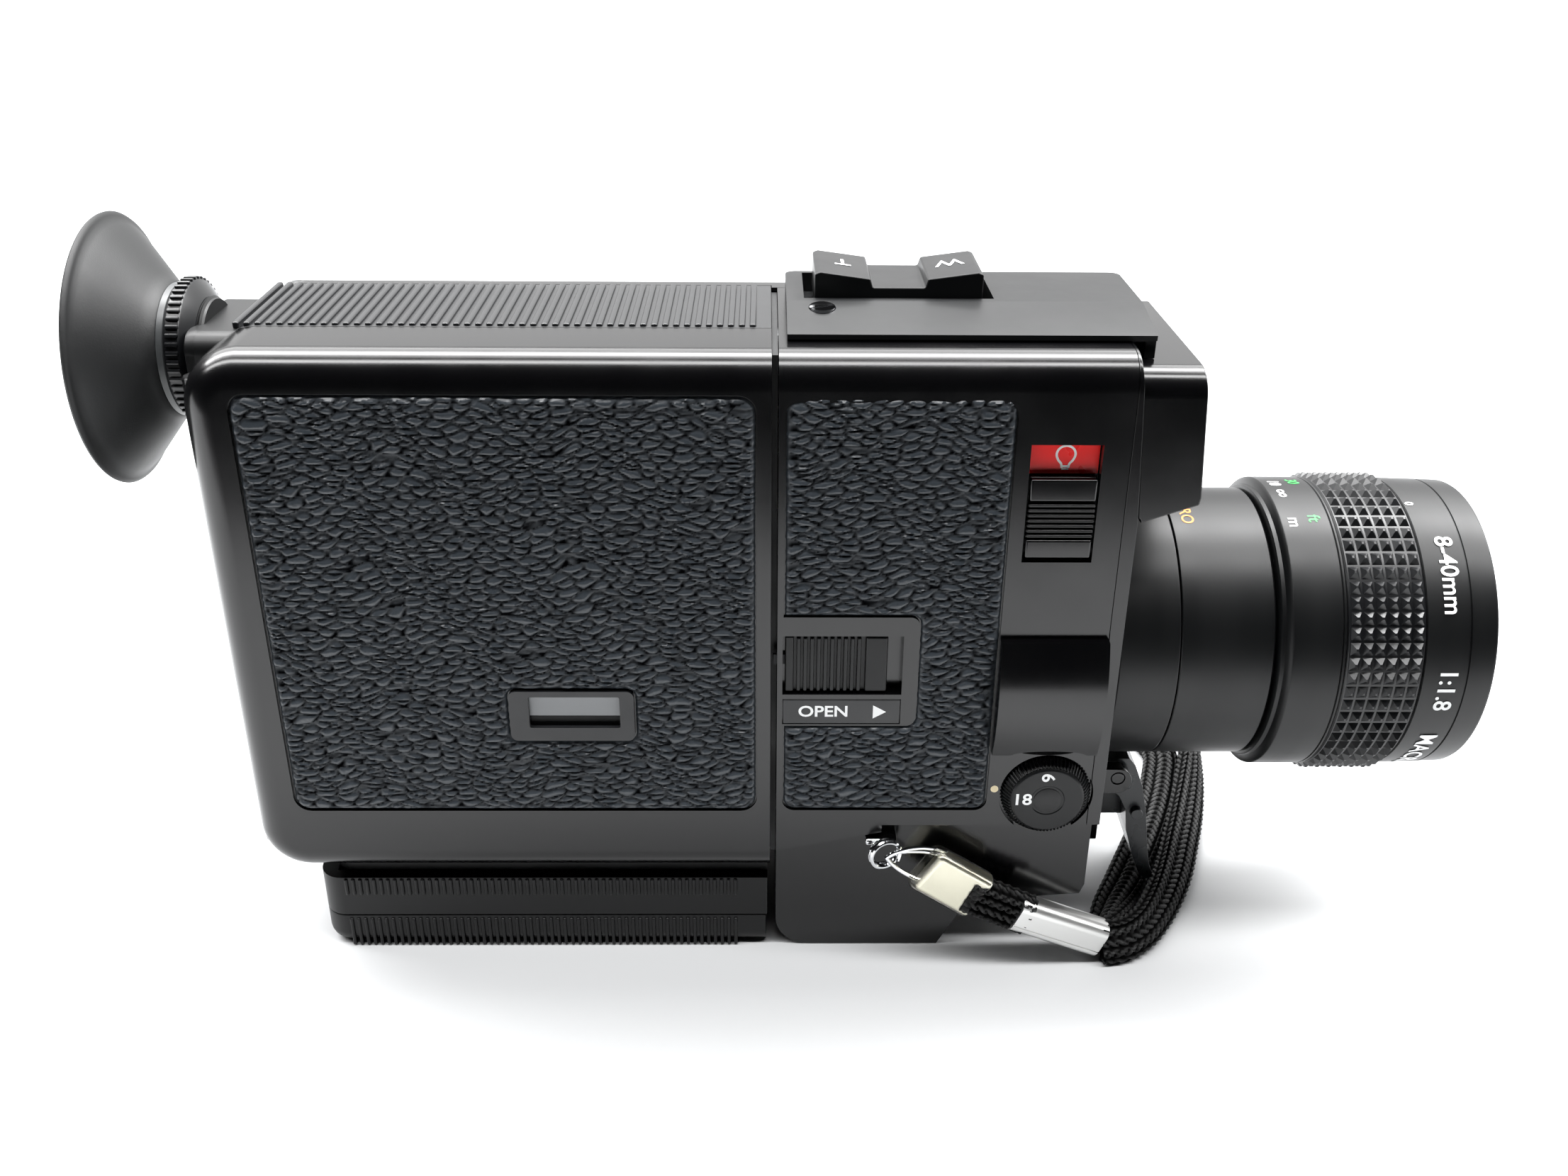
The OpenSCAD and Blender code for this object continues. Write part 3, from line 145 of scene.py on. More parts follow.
# %% [markdown]
# Three rules for picking edges come up again and again: the upright ones, those that run across the
# camera and those that run along it.

# %% Rules for edges
def upright(m, d):
    return abs(d.z) > 0.9


def crosswise(m, d):
    return abs(d.y) > 0.9


def lengthwise(m, d):
    return abs(d.x) > 0.9


# %% [markdown]
# Each modifier is applied as soon as it is set, so a piece is always a plain mesh. A cut is a
# boolean whose cutter is thrown away. Edges are softened by the angle they stand at, because a
# mould or a wheel rounds every sharp edge alike.

# %% Modifiers, cuts and smooth shading
def modify(obj, kind, **settings):
    only(obj)
    modifier = obj.modifiers.new("step", kind)
    for key, value in settings.items():
        setattr(modifier, key, value)
    bpy.ops.object.modifier_apply(modifier=modifier.name)
    return obj


def cut(obj, *cutters, how="DIFFERENCE"):
    for cutter in cutters:
        modify(obj, "BOOLEAN", operation=how, object=cutter, solver="EXACT")
        bpy.data.objects.remove(cutter)
    return obj


def soften(obj, width, segments=2, angle=32):
    """Rounds the edges that are sharper than an angle, as a mould or a polishing wheel leaves them."""
    return modify(obj, "BEVEL", width=width * MM, segments=segments, limit_method="ANGLE",
                  angle_limit=math.radians(angle), miter_outer="MITER_ARC", use_clamp_overlap=True)


def smooth(obj, angle=35):
    only(obj)
    bpy.ops.object.shade_smooth_by_angle(angle=math.radians(angle))
    return obj


def join(name, *objs):
    only(objs[0])
    for obj in objs:
        obj.select_set(True)
    if len(objs) > 1:
        bpy.ops.object.join()
    bpy.context.object.name = name
    return bpy.context.object


# %% [markdown]
# Three kinds of stock cover most of the camera: a box with some of its edges rounded, a turned
# piece that grows ring by ring along an axis as on a lathe, and a merged copy of a frame node whose
# loose triangles are first put back together into whole faces, so that its edges can be bevelled.

# %% Box stock
def box(name, corner_a, corner_b, radius=0.0, rule=None, segments=6):
    """A box between two corners in millimetres; the edges that rule picks get the radius."""
    a, b = Vector(corner_a) * MM, Vector(corner_b) * MM
    bpy.ops.mesh.primitive_cube_add(size=1, location=(a + b) / 2, scale=b - a)
    obj = settle(bpy.context.object)
    obj.name = name
    if radius:
        edit(obj)
        pick_edges(obj, rule or (lambda m, d: True))
        bpy.ops.mesh.bevel(offset=radius * MM, segments=segments, affect="EDGES")
        leave()
    return obj


# %% [markdown]
# Rings, tubes and knobs are turned. The lathe helper extrudes a circle to the next depth and scales it
# to the next radius, which is what a turner does with the tool, so any profile is a list of stations.

# %% Lathe stock
TOWARDS = {
    "+X": Matrix.Rotation(math.pi / 2, 4, "Y"), "-X": Matrix.Rotation(-math.pi / 2, 4, "Y"),
    "-Y": Matrix.Rotation(math.pi / 2, 4, "X"), "+Y": Matrix.Rotation(-math.pi / 2, 4, "X"),
    "+Z": Matrix.Identity(4)}


def turned(name, stations, start, towards="+X", steps=96):
    """A turned piece: a ring is extruded from station to station. A station is a distance from start
    along the axis and a radius, in millimetres. A piece whose first and last station are the same is
    a ring; any other gets both its ends closed."""
    depth, radius = stations[0]
    bpy.ops.mesh.primitive_circle_add(vertices=steps, radius=radius * MM, location=(0, 0, depth * MM))
    obj = settle(bpy.context.object)
    obj.name = name
    edit(obj)
    for next_depth, next_radius in stations[1:]:
        bpy.ops.mesh.extrude_region_move(
            TRANSFORM_OT_translate={"value": (0, 0, (next_depth - depth) * MM)})
        if next_radius != radius:
            grow = next_radius / radius
            bpy.ops.transform.resize(value=(grow, grow, 1), center_override=(0, 0, next_depth * MM))
        depth, radius = next_depth, next_radius
    bpy.ops.mesh.select_all(action="SELECT")
    bpy.ops.mesh.remove_doubles(threshold=1e-6)
    if stations[0] != stations[-1]:
        bpy.ops.mesh.fill_holes(sides=0)
    bpy.ops.mesh.select_all(action="SELECT")
    bpy.ops.mesh.normals_make_consistent(inside=False)
    leave()
    obj.data.transform(Matrix.Translation(Vector(start)) @ TOWARDS[towards])
    return obj


# %% [markdown]
# Some mouldings are exact in the frame already. Their copies are welded and their flat triangles
# dissolved, because only whole faces have clean edges for a bevel to follow.

# %% Merged copies of frame nodes
def merged(node, name=None):
    """A copy of a frame node with its triangles merged back into whole faces."""
    obj = bpy.data.objects.new(name or node + "_skin", frame["nodes"][node].data.copy())
    bpy.context.collection.objects.link(obj)
    obj.data.materials.clear()
    edit(obj)
    bpy.ops.mesh.remove_doubles(threshold=2e-6)
    bpy.ops.mesh.dissolve_limited(angle_limit=math.radians(0.5))
    bpy.ops.mesh.normals_make_consistent(inside=False)
    leave()
    return obj


# %% [markdown]
# A finished piece gets one material and rides on its body, and the frame nodes it stands for are
# hidden.

# %% Finishing a piece
made = []


def finish_piece(obj, body, material, replaces=(), angle=35):
    if angle:
        smooth(obj, angle)
    if angle == 35:
        modify(obj, "WEIGHTED_NORMAL", keep_sharp=True, weight=80)
    if material is not None:
        obj.data.materials.clear()
        obj.data.materials.append(material)
    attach(obj, body)
    if replaces:
        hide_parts(*replaces)
    bpy.ops.object.select_all(action="DESELECT")
    made.append(obj.name)
    print(obj.name, len(obj.data.polygons), "faces")
    return obj

# %% [markdown]
# ## Finishes
# Every finish is a small group of nodes. Colours are written as hex values. Patterns are drawn in
# object space, in metres, so a scale of one over the size of a grain gives that grain its real size.

# %% Colour and node helpers
def colour(text):
    """#rrggbb as linear red, green, blue and alpha."""
    parts = [int(text[i:i + 2], 16) / 255 for i in (1, 3, 5)]
    return [c / 12.92 if c <= 0.04045 else ((c + 0.055) / 1.055) ** 2.4 for c in parts] + [1.0]


def add(tree, kind, settings=None, **sockets):
    """Adds a node; sockets are values or other nodes' outputs, named with _ for a space."""
    node = tree.nodes.new("ShaderNode" + kind)
    for key, value in (settings or {}).items():
        setattr(node, key, value)
    for key, value in sockets.items():
        socket = node.inputs[key.replace("_", " ")]
        if isinstance(value, bpy.types.NodeSocket):
            tree.links.new(value, socket)
        else:
            socket.default_value = value
    return node


def start_material(name):
    mat = bpy.data.materials.new(name)
    mat.use_nodes = True
    mat.node_tree.nodes.clear()
    return mat, mat.node_tree


def close_material(tree, **sockets):
    surface = add(tree, "BsdfPrincipled", **sockets)
    add(tree, "OutputMaterial", Surface=surface.outputs[0])
    return surface


def place(tree, stretch=(1, 1, 1)):
    """Object coordinates, stretched."""
    coords = add(tree, "TexCoord")
    return add(tree, "Mapping", Vector=coords.outputs["Object"], Scale=stretch).outputs[0]


# %% [markdown]
# Most finishes share one recipe: a base colour, a roughness that drifts a little over the surface and
# a fine bump of a real grain size. Only the numbers differ, so one function makes them all.

# %% The general finish
def finish(name, base, rough, grain=0.3, height=0.01, metal=0.0, stretch=(1, 1, 1), mottle=0.12, **more):
    """A finish with a fine bump of a given grain in mm and height in mm, and roughness that drifts
    over the surface in patches of about 9 mm, as handling and moulding leave it."""
    mat, tree = start_material(name)
    where = place(tree, stretch)
    fine = add(tree, "TexNoise", Vector=where, Scale=1 / (grain * MM), Detail=2.0)
    patch = add(tree, "TexNoise", Vector=where, Scale=1 / (9 * MM), Detail=3.0)
    drift = add(tree, "MapRange", Value=patch.outputs[0], From_Min=0.3, From_Max=0.7,
                To_Min=rough * (1 - mottle), To_Max=rough * (1 + mottle))
    bump = add(tree, "Bump", Height=fine.outputs[0], Strength=1.0, Distance=height * MM)
    close_material(tree, Base_Color=colour(base), Roughness=drift.outputs[0], Metallic=metal,
                   Normal=bump.outputs[0], **more)
    return mat


# %% [markdown]
# Nearly everything outside is black, so it is gloss and grain that tell the parts apart: mirror-like
# keys, satin shells, a matt foot and dull rubber.

# %% Plastics, paints and rubber
# Satin black ABS: a spark-eroded mould leaves a fine even grain, so highlights have soft borders.
ABS = finish("satin_black_abs", "#050506", 0.2, grain=0.25, height=0.0012)
# The keys come from a polished mould, so their edges draw brighter lines.
KEY = finish("polished_black_abs", "#0c0d0e", 0.36, grain=0.3, height=0.002, IOR=1.36)
# The switch and the latch are polished all over and stay almost black.
GLOSS = finish("glossy_black_abs", "#060607", 0.16, grain=0.5, height=0.001)
# The trigger blade is coloured a lighter grey than the other black plastics.
GREY_TRIGGER = finish("grey_black_abs", "#2b2d2f", 0.3, grain=0.3, height=0.002)
# The foot and the ribs have a coarser matt texture against slipping.
RIBBED = finish("matt_black_abs", "#121315", 0.32, grain=0.3, height=0.003)
# The battery foot has the same texture; its colour is darker, painted shade for a part that only sees the
# table.
SHADED_FOOT = finish("matt_black_foot", "#060607", 0.36, grain=0.3, height=0.003, IOR=1.38)
# Baked satin enamel on a steel plate has a very slight orange peel.
ENAMEL = finish("satin_black_enamel", "#101112", 0.42, grain=0.4, height=0.004, IOR=1.36)
# Natural rubber cup: matt, a little grey with bloom.
RUBBER = finish("black_rubber", "#101112", 0.5, grain=0.25, height=0.014, mottle=0.08)
# The red lamp window is a printed acrylic plate.
RED = finish("red_acrylic", "#fb1512", 0.3, grain=0.4, height=0.002)
# Deep recesses are painted dead black.
DARK = finish("recess_black", "#060607", 0.6)
# The label plate is a matt anodised strip.
LABEL = finish("label_black", "#17181a", 0.4, grain=0.3, height=0.004)

# %% [markdown]
# Bare metals carry their colour in the reflection. The lens is anodised black instead, so it is a
# dark solid with turning marks, and the bump is drawn out round the barrel.

# %% Metals
# Black anodising keeps the turning marks of the lathe: grooves round the axis, so the bump is drawn
# out round the barrel and is fine along it.
ANODISED = finish("black_anodised_aluminium", "#050607", 0.42, grain=0.16, height=0.004,
                  stretch=(1, 0.04, 0.04), IOR=1.4)
KNURLED = finish("knurled_black_aluminium", "#0e0f11", 0.32, grain=0.4, height=0.004)
CHROME = finish("chrome_plate", "#d9dadc", 0.09, grain=2.0, height=0.004, metal=1.0)
ALUMINIUM = finish("pressed_aluminium", "#e2e2e0", 0.34, grain=0.5, height=0.01, metal=1.0,
                   stretch=(0.2, 1, 1))
BARE = finish("turned_aluminium", "#a9abad", 0.33, grain=0.2, height=0.004, metal=1.0,
              stretch=(1, 0.05, 0.05))
STEEL = finish("brushed_steel", "#a2a4a7", 0.3, grain=0.3, height=0.005, metal=1.0, stretch=(0.1, 1, 1))
BRASS = finish("bright_brass", "#b9924a", 0.25, grain=0.4, height=0.004, metal=1.0)
CAST = finish("black_painted_casting", "#141516", 0.5, grain=0.5, height=0.02)
BLUED = finish("blackened_steel", "#1a1b1c", 0.45, grain=0.3, height=0.006, metal=0.6)

# %% [markdown]
# The rest are small things: gears of nylon, the cells, the circuit board and the printing inks.

# %% Other solids
NYLON = finish("natural_nylon", "#dcd7c2", 0.5, grain=0.5, height=0.01)
JACKET = finish("printed_cell_jacket", "#a8873c", 0.35, grain=1.0, height=0.004, metal=0.7)
BOARD = finish("green_circuit_board", "#1d5a35", 0.45, grain=0.6, height=0.02)
WHITE = finish("white_ink", "#eceded", 0.5, grain=0.3, height=0.004)
GREEN = finish("green_ink", "#2f9a49", 0.5, grain=0.3, height=0.004)
ORANGE = finish("orange_ink", "#d9862a", 0.5, grain=0.3, height=0.004)
CREAM = finish("cream_ink", "#e2d3ae", 0.5, grain=0.3, height=0.004)
WINDOW = finish("grey_acrylic", "#8b8d8f", 0.3, grain=4.0, height=0.004)

# %% [markdown]
# Three clear solids. The vinyl has almost no colour of its own and shows the crimp inside it.

# %% Glass and vinyl
# Clear glass for prisms and windows, coated glass with a violet bloom, and yellowed soft vinyl.
GLASS = finish("clear_glass", "#e9eef0", 0.03, grain=20, height=0.001, Transmission_Weight=0.9, IOR=1.52)
COATED = finish("coated_glass", "#7f86b8", 0.03, grain=20, height=0.001, Transmission_Weight=0.7,
                IOR=1.62, Coat_Weight=0.6)
VINYL = finish("yellowed_vinyl", "#fffdf2", 0.08, grain=1.5, height=0.008, Transmission_Weight=1.0,
               IOR=1.3, mottle=0.3)


# %% [markdown]
# The leatherette's relief is modelled. Its finish paints shade into the creases, where the colour goes
# near black, the reflection is taken away and the surface is rougher, and paints a highlight on the
# pebble tops, which keep a lighter grey and a stronger reflection.

# %% Leatherette and braid
def leatherette():
    mat, tree = start_material("embossed_leatherette")
    crease = add(tree, "Attribute", {"attribute_name": "crease"})
    # Painted shade: the colour is a lighter grey on the pebble tops and near black in the creases.
    crease_shade_tone = add(tree, "Mix", {"data_type": "RGBA"})
    tree.links.new(crease.outputs["Fac"], crease_shade_tone.inputs["Factor"])
    crease_shade_tone.inputs[6].default_value = colour("#30353a")
    crease_shade_tone.inputs[7].default_value = colour("#040405")
    rough = add(tree, "MapRange", Value=crease.outputs["Fac"], To_Min=0.34, To_Max=0.9)
    # Painted highlight and shade: the reflection is strong on the tops and taken away in the creases.
    shine = add(tree, "MapRange", Value=crease.outputs["Fac"], To_Min=0.62, To_Max=0.0)
    fine = add(tree, "TexNoise", Vector=place(tree), Scale=1 / (0.35 * MM), Detail=3.0)
    bump = add(tree, "Bump", Height=fine.outputs[0], Strength=1.0, Distance=0.05 * MM)
    close_material(tree, Base_Color=crease_shade_tone.outputs[2], Roughness=rough.outputs[0],
                   Specular_IOR_Level=shine.outputs[0], Normal=bump.outputs[0])
    return mat


def braid_yarn():
    mat, tree = start_material("braided_polyester")
    crease = add(tree, "Attribute", {"attribute_name": "crease"})
    # Painted shade and highlight: the yarn is darker and loses its reflection in the creases between
    # stitches, and its ridges keep a lighter colour and a stronger reflection.
    crease_shade_tone = add(tree, "MapRange", Value=crease.outputs["Fac"], To_Min=0.011, To_Max=0.0005)
    shine = add(tree, "MapRange", Value=crease.outputs["Fac"], From_Max=0.6, To_Min=0.42, To_Max=0.0)
    fine = add(tree, "TexNoise", Vector=place(tree), Scale=1 / (0.12 * MM), Detail=2.0)
    bump = add(tree, "Bump", Height=fine.outputs[0], Strength=1.0, Distance=0.05 * MM)
    close_material(tree, Base_Color=crease_shade_tone.outputs[0], Roughness=0.5,
                   Specular_IOR_Level=shine.outputs[0], Normal=bump.outputs[0])
    return mat


LEATHER = leatherette()
BRAID = braid_yarn()
print(len(bpy.data.materials), "finishes")

# %% [markdown]
# ## The wrist strap
# The strap leaves the metal ferrule, runs away behind the camera along the table, turns in a wide
# loop and comes back to the ferrule. Its line is the frame's own route. The braid is 7 mm wide and
# 2.2 mm thick. Where the line is high the braid stands on its edge, and where it is low it lies flat,
# so that its lower edge always rests on the table.

# %% The strap's line
ROUTE = [
    (39.3, -24.1, 3.6), (43.5, -23.2, 3.6), (47.5, -20, 3.5), (51, -15, 3.3), (54.3, -9, 3),
    (57.3, -2.5, 2.7), (60.2, 5, 2.7), (63.2, 13, 2.8), (66.2, 22, 3.1), (68.8, 31, 3.4),
    (71, 41, 3.6), (72.7, 54, 3.6), (73.6, 68, 3.6), (73.6, 82, 3.6), (71, 95, 3.6),
    (65.5, 104, 3.6), (58, 107, 3.6), (51, 104, 3.6), (47, 96, 3.4), (46.5, 85, 3),
    (49, 73, 2.4), (54, 60, 1.8), (60, 48, 1.4), (64, 37, 1.2), (61.8, 27, 1.2),
    (58.2, 17, 1.2), (54, 7.5, 1.2), (50.8, 1, 1.2), (47.3, -6, 1.4), (44, -12.5, 2.2),
    (41.6, -18, 3.2), (39.4, -21.5, 3.6)]


def smooth_line(points, step=0.3):
    """A curve through all the points, as points step millimetres apart."""
    p = np.array(points, float)
    p = np.vstack([2 * p[0] - p[1], p, 2 * p[-1] - p[-2]])
    t = np.linspace(0, 1, 60, endpoint=False)[:, None]
    runs = []
    for a, b, c, d in zip(p[:-3], p[1:-2], p[2:-1], p[3:]):
        runs.append(0.5 * (2 * b + (c - a) * t + (2 * a - 5 * b + 4 * c - d) * t ** 2
                           + (3 * b - a - 3 * c + d) * t ** 3))
    dense = np.vstack(runs + [p[-2:-1]])
    along = np.concatenate([[0], np.cumsum(np.linalg.norm(np.diff(dense, axis=0), axis=1))])
    marks = np.linspace(0, along[-1], int(round(along[-1] / step)) + 1)
    return np.stack([np.interp(marks, along, dense[:, k]) for k in range(3)], axis=1), along[-1]


# %% [markdown]
# A braid can be made as a tube whose skin rises and sinks: columns of slanted stitches run along it,
# and the slant changes from column to column, which gives the herringbone. One ring of vertices is
# extruded along the line by an array of rings, joined with bridges between neighbours.

# %% A braided band along a line
def braid(name, points, wide, thick, tilt_by_height=True, ring=44):
    line, length = smooth_line(points)
    tangent = np.gradient(line, axis=0)
    tangent /= np.linalg.norm(tangent, axis=1)[:, None]
    across = np.cross([0, 0, 1.0], tangent)
    across /= np.linalg.norm(across, axis=1)[:, None]
    up = np.cross(tangent, across)
    if tilt_by_height:
        lean = np.arange(0, 90.1, 1.0)
        reach = wide / 2 * np.sin(np.radians(lean)) + thick / 2 * np.cos(np.radians(lean))
        top = int(np.argmax(reach))
        tilt = np.radians(np.interp(line[:, 2], reach[:top + 1], lean[:top + 1]))
    else:
        tilt = np.full(len(line), math.radians(90))
    tilt = np.convolve(np.pad(tilt, 8, mode="edge"), np.ones(17) / 17, mode="valid")
    flat = across * np.cos(tilt)[:, None] + up * np.sin(tilt)[:, None]
    face = np.cross(tangent, flat)
    # outline of the band: two flats and two half rounds, evenly walked
    straight, bend = wide - thick, math.pi * thick / 2
    walk = np.arange(ring) / ring * 2 * (straight + bend)
    outline, normal = [], []
    for s in walk:
        side = 1 if s < straight + bend else -1
        s = s % (straight + bend)
        if s < straight:
            outline.append((side * (straight / 2 - s), side * thick / 2))
            normal.append((0, side))
        else:
            a = math.pi / 2 + (s - straight) / (thick / 2)
            n = (side * math.cos(a), side * math.sin(a))
            outline.append((-side * straight / 2 + n[0] * thick / 2, n[1] * thick / 2))
            normal.append(n)
    outline, normal = np.array(outline), np.array(normal)
    column = walk / 1.72
    inside = column - np.floor(column) - 0.5
    slant = np.where(np.floor(column) % 2 == 0, 1.0, -1.0) * inside * 1.5
    marks = np.arange(len(line)) * 0.3
    stitch = marks[:, None] / 1.6 + slant[None, :]
    relief = (np.abs(np.cos(math.pi * stitch)) ** 0.7) * (np.cos(math.pi * inside) ** 0.6)[None, :]
    out = 0.7 * (relief - 0.62)
    place_w = outline[None, :, 0] + normal[None, :, 0] * out
    place_t = outline[None, :, 1] + normal[None, :, 1] * out
    aside = flat[:, None, :] * place_w[:, :, None]
    above = face[:, None, :] * place_t[:, :, None]
    co = (line[:, None, :] + aside + above) * MM
    rows = len(line)
    bpy.ops.mesh.primitive_grid_add(x_subdivisions=ring, y_subdivisions=rows - 1, size=1)
    obj = bpy.context.object
    obj.name = name
    flat_grid = np.empty(len(obj.data.vertices) * 3)
    obj.data.vertices.foreach_get("co", flat_grid)
    flat_grid = flat_grid.reshape(-1, 3) + 0.5
    i = np.rint(flat_grid[:, 0] * ring).astype(int) % ring
    j = np.rint(flat_grid[:, 1] * (rows - 1)).astype(int)
    obj.data.vertices.foreach_set("co", co[j, i].ravel())
    # The crease attribute carries the painted shade and highlight of the braid's finish.
    mark = obj.data.attributes.new("crease", "FLOAT", "POINT")
    mark.data.foreach_set("value", (1 - relief[j, i]).astype(np.float32))
    edit(obj)
    bpy.ops.mesh.remove_doubles(threshold=1e-7)
    bpy.ops.mesh.select_all(action="DESELECT")
    bpy.ops.mesh.select_non_manifold()
    bpy.ops.mesh.fill_holes(sides=0)
    bpy.ops.mesh.select_all(action="SELECT")
    bpy.ops.mesh.normals_make_consistent(inside=False)
    leave()
    return obj, line * MM, length * MM


strap, strap_line, strap_length = braid("wrist_strap_braid", ROUTE, 7.0, 2.2)
finish_piece(strap, "body", BRAID, ["wrist_strap"], angle=60)
print("strap length in mm:", round(strap_length / MM, 1))

# %% [markdown]
# ## Strap hardware
# A folded end of the same braid is crimped in a metal box under a clear vinyl sleeve, and hangs on a
# wire link from a split ring. At its other end the band passes through a pressed aluminium ferrule.

# %% Turning a piece along a line
def lay_along(obj, a, b):
    """Puts a piece that was made along +X from the origin on the line from a to b, in millimetres."""
    a, b = Vector(a) * MM, Vector(b) * MM
    forward = (b - a).normalized()
    sideways = Vector((0, 0, 1)).cross(forward).normalized()
    upward = forward.cross(sideways)
    turn = Matrix((forward, sideways, upward)).transposed().to_4x4()
    obj.data.transform(Matrix.Translation(a) @ turn)
    return obj


LINK, SLEEVE_A, SLEEVE_B = (3.4, -23.9, 21.4), (8.3, -24.0, 19.9), (18.6, -24.4, 13.4)
FERRULE_A, FERRULE_B = (24.2, -24.5, 10.8), (39.2, -22.8, 3.7)
sleeve_length = (Vector(SLEEVE_B) - Vector(SLEEVE_A)).length
ferrule_length = (Vector(FERRULE_B) - Vector(FERRULE_A)).length

# %% [markdown]
# The ferrule is bent from sheet round the strap. A box with round long edges gives its outside, a slit
# gives the seam and a hollow its mouth.

# %% Ferrule: a pressed box with a seam where its two edges meet
ferrule = box("ferrule_box", (0, -2.4, -3.2), (ferrule_length, 2.4, 3.2), 1.9, lengthwise)
ferrule = cut(ferrule, box("slit", (-1, -3, -1.55), (ferrule_length + 1, -2.25, -1.4)))
ferrule = cut(ferrule, box("mouth", (ferrule_length - 1.2, -1.9, -2.7), (ferrule_length + 1, 1.9, 2.7)))
ferrule = soften(ferrule, 0.35, 3, 50)
lay_along(ferrule, FERRULE_A, FERRULE_B)
finish_piece(ferrule, "body", ALUMINIUM, ["strap_ferrule"])

# %% [markdown]
# The same braid function makes the short doubled end, thicker and standing on edge.

# %% Short folded braid between crimp and ferrule
tail_line = [Vector(SLEEVE_B).lerp(Vector(FERRULE_A), t) for t in (-0.45, 0.0, 0.5, 1.0, 1.4)]
tail, _, _ = braid("folded_braid", tail_line, 7.2, 4.0, tilt_by_height=False)
finish_piece(tail, "body", BRAID, angle=60)

# %% [markdown]
# The crimp is a flattened box. The sleeve is a larger one, hollowed so that its wall is under half a
# millimetre thick.

# %% Crimp and vinyl sleeve
crimp = box("crimp_box", (1.3, -1.5, -3.95), (sleeve_length - 0.2, 1.5, 3.95), 0.9, segments=4)
lay_along(crimp, SLEEVE_A, SLEEVE_B)
finish_piece(crimp, "body", ALUMINIUM, ["strap_fittings"])
sleeve = box("vinyl_sleeve", (0, -1.95, -4.4), (sleeve_length, 1.95, 4.4), 1.5, segments=6)
sleeve = cut(sleeve, box("hollow", (0.45, -1.6, -4.05), (sleeve_length + 2, 1.6, 4.05), 1.0, segments=4))
lay_along(sleeve, SLEEVE_A, SLEEVE_B)
finish_piece(sleeve, "body", VINYL, angle=60)


# %% [markdown]
# Wires are thin round rods bent at their corners: a circle is swept along short straight runs.

# %% Wires
def wire(name, points, radius, closed=False):
    curve = bpy.data.curves.new(name, "CURVE")
    curve.dimensions = "3D"
    curve.bevel_depth, curve.bevel_resolution = radius * MM, 3
    curve.use_fill_caps = True
    spline = curve.splines.new("NURBS")
    spline.points.add(len(points) - 1)
    for point, co in zip(spline.points, points):
        point.co = [c * MM for c in co] + [1]
    spline.use_endpoint_u, spline.order_u, spline.use_cyclic_u = not closed, 3, closed
    spline.resolution_u = 8
    obj = bpy.data.objects.new(name, curve)
    bpy.context.collection.objects.link(obj)
    only(obj)
    bpy.ops.object.convert(target="MESH")
    return bpy.context.object


def ring_points(centre, radius, turns, tilt, lift):
    """A helix of a few turns, for a split ring."""
    steps = int(turns * 16)
    points = []
    for i in range(steps + 1):
        a = 2 * math.pi * i / 16
        p = Vector((radius * math.cos(a), lift * (i / steps - 0.5), radius * math.sin(a)))
        points.append(Vector(centre) + tilt @ p)
    return points


ring_tilt = Matrix.Rotation(math.radians(20), 3, "Z") @ Matrix.Rotation(math.radians(35), 3, "Y")
split_ring = wire("split_ring", ring_points((2.6, -23.7, 21.6), 2.5, 1.9, ring_tilt, 1.1), 0.42)
finish_piece(split_ring, "body", CHROME)
span = (Vector(SLEEVE_A) - Vector(LINK)).length
wires = []
for i, lift in enumerate((3.5, 2.7)):
    upper = [(-0.6, -0.5, -0.4), (0.1, -0.4, 0.7 + 0.3 * i), (span * 0.5, -0.2, lift * 0.7),
             (span + 0.6, 0, lift), (span + 3.4, 0, lift)]
    wires.append(lay_along(wire("upper_wire_%d" % i, upper, 0.34), LINK, SLEEVE_A))
lower = [(-0.6, -0.5, -0.2), (0.2, -0.4, -1.0), (span * 0.5, -0.2, -2.3), (span + 0.6, 0, -3.2),
         (span + 3.4, 0, -3.2)]
wires.append(lay_along(wire("lower_wire", lower, 0.34), LINK, SLEEVE_A))
link = join("wire_link", *wires)
finish_piece(link, "body", CHROME)
lug = box("lug_bar", (-0.6, -22.8, 22.4), (4.6, -19.5, 23.6), 0.45, segments=3)
finish_piece(lug, "body", CHROME, ["strap_lug"])

# %% [markdown]
# ## The film door
# The door is one moulding: the right side, its rounded borders and a strip of the top. It starts as
# a box whose rear and long edges get a 5 mm round, so that three rounds meet in a ball at each rear
# corner. A smaller box with smaller rounds is taken out, which leaves the wall, and three cuts leave
# only the side and the strip of the top.

# %% Film door shell
LID = high("film_door").y / MM
x0, x1, side, top, foot = REAR / MM, DOOR_FRONT / MM, SIDE / MM, TOP / MM, low("film_door").z / MM
HINGE = middle("hinge_pin") / MM
REAR_TOP, REAR_FOOT = 8.5, 8.0


def film_stock(name, front_end, inset=0.0, rounds=5.0, half=None):
    """The whole film section as a block, with its rear corners rounded before its borders."""
    half = half or -side - inset
    block = box(name, (x0 + inset, -half, foot + inset), (front_end, half, top - inset))
    for corner_z, radius in ((top - inset, REAR_TOP - inset), (foot + inset, REAR_FOOT - inset)):
        edit(block)
        pick_edges(block, lambda m, d: crosswise(m, d) and m.x < x0 * MM + 0.01
                   and abs(m.z - corner_z * MM) < 0.001)
        bpy.ops.mesh.bevel(offset=radius * MM, segments=10, affect="EDGES")
        leave()
    if rounds:
        edit(block)
        pick_edges(block, lambda m, d: abs(abs(m.y) - half * MM) < 1e-5 and m.x < (front_end - 0.1) * MM)
        bpy.ops.mesh.bevel(offset=rounds * MM, segments=8, affect="EDGES")
        leave()
    return block


